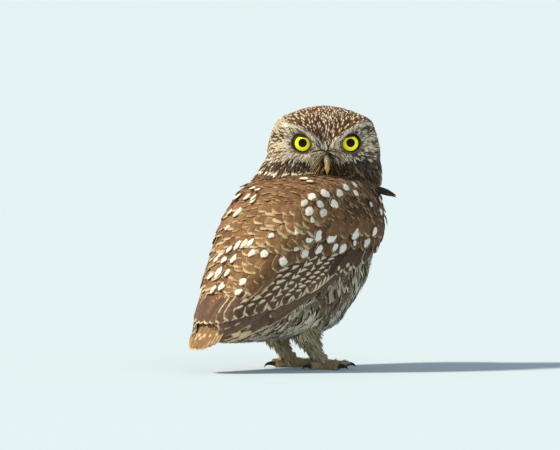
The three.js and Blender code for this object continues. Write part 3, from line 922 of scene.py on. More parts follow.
@dataclass
class Coat:
    """One joined piece of feathers of one vane shape."""

    name: str
    vane: VaneShape
    parts: list[Feathers] = field(default_factory=list)

    def build(self, placing: Placing) -> Object:
        """Join the feathers into one object with its maps and markings.

        Args:
            placing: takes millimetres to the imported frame.

        Returns:
            The linked object, not dressed yet.
        """
        row, across, face, quads = self.vane.template()
        share = np.array([s for _, s in self.vane.outline])[row]
        along = self.vane.rows[row]
        line, normal, width, roll, chart = (
            np.concatenate([getattr(part, key) for part in self.parts])
            for key in ("spine", "normal", "width", "roll", "chart")
        )
        normal = unit(normal)
        side = unit(np.cross(unit(np.gradient(line, axis=1)), normal))
        roll = roll[:, None, None]
        turned = side * np.cos(roll) + normal * np.sin(roll)
        lifted = normal * np.cos(roll) - side * np.sin(roll)
        half = width[:, None] / 2 * share
        fray = np.random.default_rng(len(half))
        ragged = fray.normal(1, self.vane.ragged, (len(half), len(self.vane.outline), 2))
        half = half * ragged[:, row, (across > 0).astype(int)]
        rise = face * self.vane.thickness / 2 - self.vane.camber * half * across**2
        points = line[:, row] + turned[:, row] * (half * across)[..., None] + lifted[:, row] * rise[..., None]

        count, size = len(points), len(row)
        mesh = bpy.data.meshes.new(self.name)
        mesh.vertices.add(count * size)
        mesh.vertices.foreach_set("co", placing.metres(points).astype(np.float32).ravel())
        loops = (np.arange(count)[:, None, None] * size + quads).ravel()
        mesh.loops.add(len(loops))
        mesh.loops.foreach_set("vertex_index", loops.astype(np.int32))
        mesh.polygons.add(count * len(quads))
        mesh.polygons.foreach_set("loop_start", np.arange(0, len(loops), 4, dtype=np.int32))
        mesh.polygons.foreach_set("use_smooth", np.ones(count * len(quads), bool))
        mesh.update(calc_edges=True)
        ends = np.zeros(len(mesh.edges) * 2, np.int32)
        mesh.edges.foreach_get("vertices", ends)
        on_rim = (face == 0)[ends.reshape(-1, 2) % size].all(1)
        mesh.attributes.new("sharp_edge", "BOOLEAN", "EDGE").data.foreach_set("value", on_rim)

        flat = np.stack([(across + 1) / 2, along], -1)
        self._map(mesh, "Vane", np.tile(flat, (count, 1)), loops)
        self._map(mesh, "OFBake", (chart[:, None] + BAKE_PATCH * flat).reshape(-1, 2), loops)
        looks = [p.looks for p in self.parts]
        joined = {key: np.concatenate([getattr(x, key) for x in looks]) for key in Looks.__dataclass_fields__}
        length = np.linalg.norm(np.diff(line, axis=1), axis=2).sum(1)
        aspect = length / np.maximum(half.max(1), 0.1)
        paint(mesh, "Tone", [*joined["tone"].T, aspect], size)
        paint(mesh, "Rim", [*joined["rim"].T, joined["fringe"]], size)
        paint(mesh, "Marks", [joined["bars"], joined["streak"], 0 * aspect, 1 + 0 * aspect], size)
        paint(mesh, "Spots", [joined[k] for k in ("spot", "spot_at", "spot_side", "spot_long")], size)
        return linked(self.name, mesh)

    @staticmethod
    def _map(mesh: Mesh, name: str, places: Array, loops: Array) -> None:
        """Write one UV map from a place for each vertex."""
        layer = mesh.uv_layers.new(name=name, do_init=False)
        layer.uv.foreach_set("vector", places[loops].astype(np.float32).ravel())


@dataclass(frozen=True)
class Body:
    """The body inside the wings: the form drawn in under them and rounded off at the vent."""

    form: Form
    wing_depth: float = 7.9  # mm from the form to the body under the wing
    coat_depth: float = 3.0
    rump_slope: float = 1.1  # mm for each slice that the rump falls away under the wings
    round_from: float = 9.6
    round_to: float = 12.7

    def inset(self, t: Array, angle: Array) -> Array:
        """How far the body is drawn in from the form."""
        past = smooth(14, 44, np.abs(angle) - self.form.edge(t))
        past = np.maximum(past, 0.75 * smooth(8.5, 10.2, t))
        rump = np.maximum(t - 8.4, 0) * self.rump_slope * np.maximum(np.cos(np.radians(angle)), 0)
        return self.wing_depth * (1 - past) + rump

    def place(self, t: Array, angle: Array, depth: Array | float = 0.0) -> Array:
        """Find points of the body's outside.

        Args:
            t, angle: slice numbers and angles.
            depth: how far they are drawn in.

        Returns:
            Points in millimetres.
        """
        t, angle = np.broadcast_arrays(np.asarray(t, float), np.asarray(angle, float))
        held = np.minimum(t, self.round_to - 0.02)
        points = self.form.place(held, angle, self.inset(held, angle) + depth)
        middle = (self.form.place(held, 0 * held) + self.form.place(held, 0 * held + 180)) / 2
        share = np.clip((held - self.round_from) / (self.round_to - self.round_from), 0, 1)
        rounded = 1 - np.sqrt(1 - share**3)
        return points + (middle - points) * rounded[..., None]

    def skin(self, t: Array, angle: Array) -> Array:
        """Find points of the skin, under the coat of wings, mantle and body alike.

        Args:
            t, angle: slice numbers and angles.

        Returns:
            Points in millimetres.
        """
        edge = self.form.edge(t)
        under = smooth(-7, 3, np.abs(angle) - edge)
        under = np.maximum(under, smooth(8.4, 9.8, t))
        wing = self.form.place(t, angle, self.coat_depth)
        body = self.place(t, angle, self.coat_depth)
        return wing + (body - wing) * under[..., None]


@dataclass
class Skin:
    """One closed skin over head, neck, body, wings and legs, inside the coat."""

    form: Form
    body: Body
    head: HeadForm
    placing: Placing
    coat_depth: float = 2.6  # mm, on the head
    voxel: float = 1.3
    ring_points: int = 72
    leg_stations: Table = (
        (-16, 0.92, 47, 14, 12),
        (-14, 0.95, 37, 12.5, 11.5),
        (-9, 1, 28, 8.6, 9),
        (-4, 1, 19, 5.6, 6),
        (1, 1, 11, 4.4, 4.4),
        (4, 1, 4.5, 4.0, 4.0),
    )
    foot_y: float = 18.0
    neck: Table = (
        # height; reach to the face's side, the nape, the head's left and right
        (126, 24, 32, 36, 48),
        (133, 27, 35, 41, 54),
        (139, 28, 35, 42.5, 52.5),
        (145, 28.5, 34, 42.5, 48),
        (151, 29, 34, 41.5, 44),
        (156, 29, 34, 40.5, 41),
    )

    def leg_line(self, side: Side) -> Array:
        """Stations of one leg in the form's frame."""
        return np.array([(x, side.value * self.foot_y * y, z, a, u) for x, y, z, a, u in self.leg_stations])

    def build(self) -> Object:
        """Loft the parts, fuse them to one surface and soften it.

        Returns:
            The linked skin, with its colours.
        """
        bm = bmesh.new()
        angle = np.linspace(0, 360, self.ring_points, endpoint=False)
        signed = np.where(angle > 180, angle - 360, angle)
        head, depth, powers = self.head, self.coat_depth, (self.head.front_power, self.head.back_power)
        levels = on_curve(np.array(head.slices, float), np.linspace(0, len(head.slices) - 1.1, 34))
        necks = on_curve(np.array(self.neck, float), np.linspace(0, 5, 16))
        for rings in (
            [self.body.skin(np.full_like(angle, t), signed) for t in np.linspace(0.3, 12.6, 54)],
            [head.ring(z, front - depth, back - depth, half - depth, half - depth, self.ring_points, powers)
             for z, front, back, half in levels],
            [head.ring(*row, self.ring_points) for row in necks],
            *(limb_rings(self.leg_line(side), 24, 22) for side in Side),
        ):
            loft(bm, self.placing, rings)
        made = fused(bm, "skin", self.voxel, 6)
        self._shape_face(made.data)
        self._colour(made.data)
        return made

    def points(self, mesh: Mesh) -> Array:
        """Vertices in millimetres of the form's frame."""
        co = np.zeros(len(mesh.vertices) * 3, np.float32)
        mesh.vertices.foreach_get("co", co)
        return co.reshape(-1, 3).astype(float) / MM - self.placing.shift

    def _shape_face(self, mesh: Mesh) -> None:
        """Raise the brows over the eyes, the bristle mounds and bridge, and square the crown.

        Args:
            mesh: the fused skin, which is changed.
        """
        points = self.points(mesh)
        forward, left, up = np.moveaxis(self.head.from_body(points), -1, 0)
        side = np.abs(left)
        away = self.head.from_eye(left, up)
        bowl = -0.9 * np.exp(-((away / 7) ** 2))
        ring = 1.7 * np.exp(-(((away - 10.5) / 3.5) ** 2))
        bridge = 2.2 * np.exp(-((left / 5) ** 2) - ((up - 161) / 9) ** 2)
        mound = 2.6 * np.exp(-(((side - 7) / 5) ** 2) - ((up - 154) / 6) ** 2)
        above = up - brow_height(left)
        brow = 3.4 * np.exp(-((above / 3.4) ** 2)) * smooth(1, 8, side) * smooth(34, 24, side)
        push = (bowl + ring + bridge + brow + mound) * smooth(10, 22, forward) * (up > 140)
        corner = 3.0 * np.exp(-(((side - 31) / 8) ** 2) - ((up - 181) / 7) ** 2) * smooth(-16, 4, forward)
        outward = self.head.direction(np.stack([0 * left, 0.75 * np.sign(left), 0.66 + 0 * left], -1))
        points += push[:, None] * self.head.direction([1, 0, 0]) + corner[:, None] * outward
        mesh.vertices.foreach_set("co", self.placing.metres(points).astype(np.float32).ravel())
        mesh.update()

    def _colour(self, mesh: Mesh) -> None:
        """Write the coat's ground colours on the skin: brown above, off-white below.

        Args:
            mesh: the fused skin, which is changed.
        """
        points = self.points(mesh)
        brown, pale, buff = (np.array(linear(c)) for c in ("#5A4029", "#8F836B", "#8A7658"))
        forward, left, up = np.moveaxis(self.head.from_body(points), -1, 0)
        t, angle = nearest_on(self.form, points)
        below = smooth(-2, 12, np.abs(angle) - self.form.edge(t))
        below = np.maximum(below, smooth(9.5, 11, t) * smooth(40, 70, np.abs(angle)))
        tone = brown + (pale - brown) * below[:, None]
        on_head = smooth(143, 150, up)[:, None]
        on_face = (smooth(10, 20, forward) * smooth(2, -1, up - brow_height(left)))[:, None]
        tone += (brown + (buff - brown) * on_face - tone) * on_head
        paint(mesh, "Tone", [*tone.T, np.ones(len(tone))])

    def tree(self, mesh: Mesh) -> BVHTree:
        """A search tree of the skin in millimetres of the form's frame."""
        points = self.points(mesh)
        return BVHTree.FromPolygons([tuple(p) for p in points], [tuple(f.vertices) for f in mesh.polygons])


def nearest_on(form: Form, points: Array) -> tuple[Array, Array]:
    """Find the slice number and angle of the form's places nearest to points.

    Args:
        form: the form.
        points: points in its frame.

    Returns:
        Slice numbers and angles.
    """
    t, angle = (x.ravel() for x in np.meshgrid(np.linspace(0.2, 12.8, 64), np.arange(-180, 180, 6.0)))
    tree = KDTree(len(t))
    for number, place in enumerate(form.place(t, angle)):
        tree.insert(place, number)
    tree.balance()
    found = np.array([tree.find(p)[1] for p in points])
    return t[found], angle[found]


@dataclass(frozen=True)
class Lay:
    """Size and lie of a tract's feathers, in millimetres and degrees."""

    length: float
    width: float
    tip: float  # height of the tips over the surface, and of the roots below
    pitch_along: float = 5.0
    pitch_across: float = 6.0
    root: float = -2.8
    jitter: float = 6.0
    rise: float = 0.8  # below 1 the vane leaves the skin early


def bake_place(t: Array, angle: Array) -> Array:
    """Places of roots on the bake map, from their slice numbers and angles."""
    return np.stack([(angle + 180) / 360, t / LAST_SLICE * 0.6], -1)


def heights(lay: Lay, shares: Array, lift: Array) -> Array:
    """Height of each row of a vane over the surface, for feathers lifted by lift more at the tip."""
    return lay.root + (lay.tip - lay.root + lift[:, None]) * shares[None] ** lay.rise


def walk(
    surface: Surface, t: Array, angle: Array, length: Array, shares: Array,
    swing: Array, flow: float,
) -> tuple[Array, Array, Array, Array]:
    """Follow the lie of the coat over a surface.

    Args:
        surface: gives points for slice numbers and angles.
        t: slice numbers of the starts.
        angle: angles of the starts.
        length: how far each line runs; below zero it runs against the lie.
        shares: shares of the length at which each line is drawn.
        swing: turn of each line from the lie, in radians.
        flow: how fast the lie turns towards the back, per degree past the mantle.

    Returns:
        Points and outward normals down each line, and the slice numbers and angles of the ends.
    """
    places, normals = [], []
    for before, share in zip([0.0, *shares], shares):
        step = 1e-3
        along = (surface(t + step, angle) - surface(t - step, angle)) / (2 * step)
        across = (surface(t, angle + 1) - surface(t, angle - 1)) / 2
        turn = -flow * np.sign(angle) * np.maximum(np.abs(angle) - 12, 0)
        way = along + across * turn[:, None]
        sideways = unit(across) * (np.linalg.norm(way, axis=1) * np.tan(swing))[:, None]
        pace = np.maximum(np.linalg.norm(way + sideways, axis=1), 1e-3)
        move = length * (share - before) / pace
        round_pace = np.maximum(np.linalg.norm(across, axis=1), 1e-3)
        angle = angle + move * (turn + np.tan(swing) * pace / round_pace)
        t = t + move
        places.append(surface(t, angle))
        normals.append(unit(np.cross(surface(t, angle + 1) - surface(t, angle - 1),
                                     surface(t + 0.05, angle) - surface(t - 0.05, angle))))
    return np.stack(places, 1), np.stack(normals, 1), t, angle


def at(angle: float) -> Callable[[float], float]:
    """A side of a tract that stays at one angle from slice to slice."""
    return lambda t: angle


@dataclass
class BodyTract:
    """Feathers in rows over the form or the body, between two slices and two angles."""

    lay: Lay
    look: Look
    first: float
    last: float
    low: Callable[[float], float]
    high: Callable[[float], float]
    flow: float = 0.1
    keep: Callable[[Array, Array], Array] | None = None
    repaint: Repaint | None = None

    def roots(self, surface: Surface, rng: Rng) -> tuple[Array, Array]:
        """Spread the roots in staggered rows.

        Args:
            surface: gives points for slice numbers and angles.
            rng: seeded draws.

        Returns:
            Slice numbers and angles.
        """
        found_t, found_a = [], []
        t = self.first
        while t <= self.last:
            low, high = self.low(t), self.high(t)
            angle = np.linspace(low, high, 40)
            line = surface(np.full_like(angle, t), angle)
            walked = np.concatenate([[0], np.cumsum(np.linalg.norm(np.diff(line, axis=0), axis=1))])
            count = max(2, round(walked[-1] / self.lay.pitch_across))
            offset = 0.5 * (len(found_t) % 2)
            want = (np.arange(count) + offset + rng.uniform(-0.22, 0.22, count)) / count * walked[-1]
            found_a.append(np.interp(want, walked, angle))
            found_t.append(np.full(count, t) + rng.uniform(-0.15, 0.15, count) * self.lay.pitch_along / 12)
            middle = (low + high) / 2
            step = surface(np.array([t, t + 0.2]), np.array([middle, middle]))
            t += 0.2 * self.lay.pitch_along / max(np.linalg.norm(step[1] - step[0]), 1.0)
        return np.concatenate(found_t), np.concatenate(found_a)

    def grow(self, surface: Surface, vane: VaneShape, rng: Rng) -> Feathers:
        """Lay the feathers on a surface.

        Args:
            surface: gives points for slice numbers and angles.
            vane: their shape, whose rows set where each spine is drawn.
            rng: seeded draws.

        Returns:
            The feathers.
        """
        t, angle = self.roots(surface, rng)
        if self.keep:
            kept = self.keep(t, angle)
            t, angle = t[kept], angle[kept]
        count = len(t)
        shares = vane.rows
        length = self.lay.length * rng.uniform(0.88, 1.12, count)
        swing = np.radians(rng.normal(0, self.lay.jitter, count))
        chart = bake_place(t, angle)
        looks = self.look.draw(count, rng)
        if self.repaint:
            self.repaint(looks, t, angle, rng)
        spine, normal, _, _ = walk(surface, t, angle, length, shares, swing, self.flow)
        lift = rng.uniform(-0.35, 0.55, count)
        spine = spine + normal * heights(self.lay, shares, lift)[..., None]
        roll = np.radians(rng.normal(0, 3, count))
        return Feathers(spine, normal, self.lay.width * rng.uniform(0.88, 1.12, count), roll, looks, chart)


@dataclass
class WhiteSpots:
    """Feathers that each end in one white spot, at set places of the upper parts."""

    places: Table
    look: Look
    length: float = 13.0
    margin: float = 1.3  # vane half width over the spot's
    size: float = 1.2
    at: float = 0.8
    tip: float = 2.0  # mm that the vane's end stands over the form

    def grow(self, form: Form, sign: int, rng: Rng) -> Feathers:
        """Lay the feathers, with their angles as written times sign.

        Args:
            form: the body's form.
            sign: 1 as written, -1 mirrored to the other side.
            rng: seeded draws.

        Returns:
            The feathers.
        """
        t, angle, radius, long = np.array(self.places, float).T
        count = len(t)
        radius = radius * self.size * rng.uniform(0.82, 1.12, count)
        long = long * rng.uniform(0.85, 1.25, count)
        angle = angle * sign
        shares = CONTOUR.rows
        still = np.zeros(count)
        length = np.maximum(self.length, radius * long * 4.6)
        _, _, t, angle = walk(form.place, t, angle, -self.at * length, np.linspace(0, 1, 5), still, 0.1)
        chart = bake_place(np.maximum(t, 0), angle) + (0, 0.004)
        swing = np.radians(rng.normal(0, 4, count))
        spine, normal, _, _ = walk(form.place, t, angle, length, shares, swing, 0.1)
        lay = Lay(self.length, 9, self.tip, root=-2.6)
        spine = spine + normal * heights(lay, shares, rng.uniform(-0.2, 0.3, count))[..., None]
        looks = self.look.draw(count, rng)
        looks.spot[:] = 1 / self.margin
        looks.spot_at[:] = self.at
        looks.spot_side[:] = rng.uniform(-0.12, 0.12, count)
        looks.spot_long[:] = long
        roll = np.radians(rng.normal(0, 3, count))
        return Feathers(spine, normal, 2 * radius * self.margin, roll, looks, chart)


@dataclass
class Tier:
    """A row of wing feathers side by side, from the lowest or foremost to the innermost."""

    count: int
    quills: Table
    tips: Table
    lay: Lay
    look: Look
    overlap: float = 0.11  # mm that each feather lies over the one below it
    tuck: float = 0.45  # how far the left wing's tips are drawn to the middle
    repaint: Callable[[Looks, Array, Rng], None] | None = None

    def grow(self, form: Form, vane: VaneShape, side: Side, rng: Rng) -> Feathers:
        """Lay the row on one wing.

        Args:
            form: the body's form.
            vane: the feathers' shape.
            side: which wing.
            rng: seeded draws.

        Returns:
            The feathers.
        """
        share = np.linspace(0, 1, self.count) + rng.uniform(-0.015, 0.015, self.count)
        quill, tip = (
            np.stack([np.interp(share, np.linspace(0, 1, len(line)), column) for column in zip(*line)], -1)
            for line in (self.quills, self.tips)
        )
        rows = vane.rows
        place = quill[:, None] + (tip - quill)[:, None] * rows[None, :, None]
        t, angle = place[..., 0], place[..., 1] * side.value
        if side is Side.LEFT:
            angle = angle * (1 - self.tuck * smooth(9.2, 12.2, t))
        spine, normal = form.place(t, angle), form.normal(t, angle)
        lift = self.overlap * np.arange(self.count)
        spine = spine + normal * heights(self.lay, rows, lift)[..., None]
        roll = np.radians(rng.normal(0, 1.5, self.count))
        chart = bake_place(t[:, 0], angle[:, 0])
        width = self.lay.width * rng.uniform(0.95, 1.05, self.count)
        looks = self.look.draw(self.count, rng)
        if self.repaint:
            self.repaint(looks, share, rng)
        return Feathers(spine, normal, width, roll, looks, chart)


@dataclass
class HeadTract:
    """Feathers over the head, spread evenly and lying away from the eyes and bill."""

    name: str
    lay: Lay
    look: Look
    spacing: float
    region: Callable[[Array, Array, Array], Array]
    droop: float = 1.0
    aim: Callable[[Array], Array] | None = None
    repaint: Repaint | None = None

    def grow(self, skin: BVHTree, head: HeadForm, vane: VaneShape, rng: Rng) -> Feathers:
        """Lay the feathers on the skin's search tree.

        Args:
            skin: the skin in the form's frame.
            head: the head's frame and sizes.
            vane: the feathers' shape.
            rng: seeded draws.

        Returns:
            The feathers.
        """
        centre = np.array([head.axis_x, 0.0, head.middle_height])
        spread = int(4 * np.pi * head.mean_radius**2 * 1.15 / self.spacing**2)
        number = np.arange(spread) + 0.5
        up = 1 - 2 * number / spread
        turn = np.pi * (1 + 5**0.5) * number
        out = np.stack([np.sqrt(1 - up**2) * np.cos(turn), np.sqrt(1 - up**2) * np.sin(turn), up], -1)
        out = unit(out + rng.normal(0, 0.5 / math.sqrt(spread), out.shape))
        hits = [skin.ray_cast(Vector(centre), Vector(way)) for way in out]
        points = np.array([h[0] if h[0] is not None else (0, 0, 0) for h in hits], float)
        inside = self.region(*np.moveaxis(head.from_body(points), -1, 0))
        points, out = points[inside], out[inside]
        count = len(points)
        shares = vane.rows
        local = head.from_body(points)
        from_eye = np.where(local[:, 0] > 10, head.from_eye(local[:, 1], local[:, 2]), 50)
        size = np.clip((from_eye - 3.5) / 10, 0.38, 1)
        length = self.lay.length * size * rng.uniform(0.85, 1.15, count)
        swing = np.radians(rng.normal(0, self.lay.jitter, count))[:, None]
        turn_share = np.arctan2(out[:, 1], out[:, 0]) / (2 * np.pi) + 0.5
        chart = np.stack([turn_share, 0.65 + 0.3 * (1 + out[:, 2]) / 2], -1)
        looks = self.look.draw(count, rng)
        if self.repaint:
            self.repaint(looks, local, points, rng)
        places, normals = [], []
        for place, share in enumerate(shares):
            found = [skin.find_nearest(Vector(p)) for p in points]
            points = np.array([f[0] for f in found], float)
            normal = unit(np.array([f[1] for f in found], float))
            places.append(points)
            normals.append(normal)
            way = self.way(points, head)
            way = unit(way - normal * (way * normal).sum(1, keepdims=True))
            way = way * np.cos(swing) + np.cross(normal, way) * np.sin(swing)
            following = shares[min(place + 1, len(shares) - 1)]
            points = points + way * (length * (following - share))[:, None]
        spine, normal = np.stack(places, 1), np.stack(normals, 1)
        rise = heights(self.lay, shares, rng.uniform(-0.3, 0.5, count)) * size[:, None]
        spine = spine + normal * rise[..., None]
        roll = np.radians(rng.normal(0, 6, count))
        width = self.lay.width * (0.4 + 0.6 * size) * rng.uniform(0.85, 1.15, count)
        return Feathers(spine, normal, width, roll, looks, chart)

    def way(self, points: Array, head: HeadForm) -> Array:
        """Find how feathers lie: away from the eyes and bill, and drooping behind.

        Args:
            points: points on the head.
            head: the head's frame and sizes.

        Returns:
            Directions in the form's frame.
        """
        local = head.from_body(points)
        if self.aim:
            return unit(head.direction(self.aim(local)))
        eyes = [((head.eye_depth, side.value * head.eye_spacing / 2, head.eye_height), 1.0) for side in Side]
        total = np.zeros_like(local)
        for source, strength in (*eyes, (head.bill_root, 0.8)):
            apart = local - np.array(source)
            total += strength * apart / (np.linalg.norm(apart, axis=1, keepdims=True) ** 2 + 1)
        total = unit(total)
        behind = smooth(8, -18, local[:, 0])[:, None]
        low = smooth(160, 148, local[:, 2])[:, None]
        fall = np.array([0, 0, -1])
        return unit(head.direction(total) + fall * self.droop * (1.3 * behind + 0.9 * low))


@dataclass
class Eye:
    """One eye in its dark lids, hooded from above."""

    side: Side
    head: HeadForm
    placing: Placing
    set_back: float = 3.0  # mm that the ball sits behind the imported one, under the brow
    cornea_angle: float = 46.0
    cornea_rise: float = 0.8
    gaze_lift: float = 0.05
    lid_radius: float = 6.4
    lid_thickness: float = 0.55
    lid_forward: float = 5.9
    lid_height: float = 0.95  # height of the opening over its width
    hood: float = 4.9  # mm over the middle at which the upper lid is held level
    hood_slant: float = 0.16

    def _turn(self, lift: float = 0.0) -> Matrix:
        """Matrix that takes +Z to the gaze and the origin to the eye's centre."""
        gaze = Vector(self.head.direction([1, 0, lift]))
        centre = self.head.eye(self.side) - self.set_back * self.head.direction([1, 0, 0])
        place = Matrix.Translation(Vector(self.placing.metres(centre)))
        return place @ gaze.to_track_quat("Z", "Y").to_matrix().to_4x4()

    def ball(self) -> Object:
        """Shape the eyeball with its cornea and gaze map.

        Returns:
            The linked eyeball.
        """
        bm = bmesh.new()
        bmesh.ops.create_uvsphere(bm, u_segments=48, v_segments=36, radius=self.head.eye_radius * MM)
        gaze_map = bm.loops.layers.uv.new("Gaze")
        limit = math.radians(self.cornea_angle)
        angles = {}
        for vertex in bm.verts:
            angle = vertex.co.angle(Vector((0, 0, 1)))
            angles[vertex] = (angle / math.pi, math.atan2(vertex.co.y, vertex.co.x) / (2 * math.pi) + 0.5)
            if angle < limit:
                bulge = math.cos(math.pi / 2 * angle / limit) ** 2
                vertex.co *= 1 + self.cornea_rise / self.head.eye_radius * bulge
        for face in bm.faces:
            turns = [angles[loop.vert][1] for loop in face.loops]
            for loop in face.loops:
                share, turn = angles[loop.vert]
                loop[gaze_map].uv = (share, turn + (max(turns) - turn > 0.5))
        bmesh.ops.transform(bm, matrix=self._turn(self.gaze_lift), verts=bm.verts)
        return object_from(bm, f"eyeball_{self.side.word}")

    def lid(self) -> Object:
        """Shape the lids, one ring of skin, level above and slanting down to the bill.

        Returns:
            The linked ring.
        """
        bm = bmesh.new()
        made = bmesh.ops.create_circle(bm, segments=12, radius=self.lid_thickness * MM)
        stand = Matrix.Rotation(math.radians(90), 4, "X")
        out = Matrix.Translation(Vector((self.lid_radius * MM, 0, self.lid_forward * MM)))
        squash = Matrix.Diagonal((1.0, 1.0, 1.9, 1.0))
        bmesh.ops.transform(bm, matrix=out @ squash @ stand, verts=made["verts"])
        bmesh.ops.spin(bm, geom=bm.verts[:] + bm.edges[:], axis=(0, 0, 1), cent=(0, 0, 0),
                       angle=math.tau, steps=48, use_merge=True, use_duplicate=False)
        bmesh.ops.remove_doubles(bm, verts=bm.verts, dist=1e-6)
        upward = (self._turn().to_3x3().inverted() @ Vector((0, 0, 1))).normalized()
        toward_bill = (self._turn().to_3x3().inverted() @ Vector(
            self.head.direction([0, -self.side.value, 0]))).normalized()
        for vertex in bm.verts:
            height = vertex.co.dot(upward)
            inward = vertex.co.dot(toward_bill)
            limit = self.hood * MM - self.hood_slant * inward
            over = max(height - limit, 0.0)
            rim = (self.lid_radius + self.lid_thickness) * MM - math.hypot(vertex.co.x, vertex.co.y)
            inner = min(max(rim / (2 * self.lid_thickness * MM), 0.0), 1.0)
            vertex.co += upward * (height * (self.lid_height - 1) - over * 1.1 * inner)
            vertex.co.z += over * (0.3 + 0.9 * inner)
        bmesh.ops.transform(bm, matrix=self._turn(), verts=bm.verts)
        return object_from(bm, f"lid_{self.side.word}")

    def build(self) -> None:
        """Make the eye and its lids."""
        word = self.side.word
        finish_piece(self.ball(), "eye", WetEye(name=f"wet_eye_{word}").make(), f"eye_{word}")
        lid = BareSkin(name=f"lid_skin_{word}", colour="#120F0E", roughness=0.6)
        finish_piece(self.lid(), "eye", lid.make())


@dataclass
class Bill:
    """The hooked bill: upper and lower halves of horn."""

    head: HeadForm
    placing: Placing
    upper: Table = (
        # forward of the neck's axis, height over the tip, half width, half thickness
        (28, 11.5, 2.5, 3.4),
        (32, 11.4, 2.5, 3.4),
        (35.5, 10.6, 2.3, 3.3),
        (38.2, 8.6, 1.9, 2.9),
        (39.6, 5.6, 1.45, 2.1),
        (39.4, 2.6, 0.85, 1.2),
        (38.6, 0.3, 0.25, 0.3),
    )
    lower: Table = (
        (28, 6.6, 2.2, 1.5),
        (33, 5.8, 2.1, 1.4),
        (35.6, 4.6, 1.6, 1.1),
        (37.2, 3, 0.7, 0.6),
    )

    def half(self, name: str, stations: Table) -> Object:
        """Loft one half of the bill.

        Args:
            name: the piece's name.
            stations: its table.

        Returns:
            The linked half.
        """
        forward, up, across, thick = np.array(stations).T
        line = self.head.to_body(np.stack([forward, 0 * forward, self.head.bill_tip_height + up], -1))
        return limb(name, self.placing, np.column_stack([line, across, thick]), 28, 30)

    def build(self) -> None:
        """Make both halves."""
        tip = self.head.bill_tip_height
        start, end = self.placing.metres(self.head.to_body([[34.0, 0.0, tip + 14], [39.0, 0.0, tip]]))
        horn = Horn(name="bill_horn", root="#847E68", tip="#CBA451", start=tuple(start), end=tuple(end))
        material = horn.make()
        finish_piece(self.half("bill_above", self.upper), "bill", material, "bill_upper")
        finish_piece(self.half("bill_below", self.lower), "bill", material, "bill_lower")


@dataclass(frozen=True)
class Toe:
    """One toe: its direction outward from straight ahead, in degrees, and its length."""

    name: str
    turn: float
    length: float


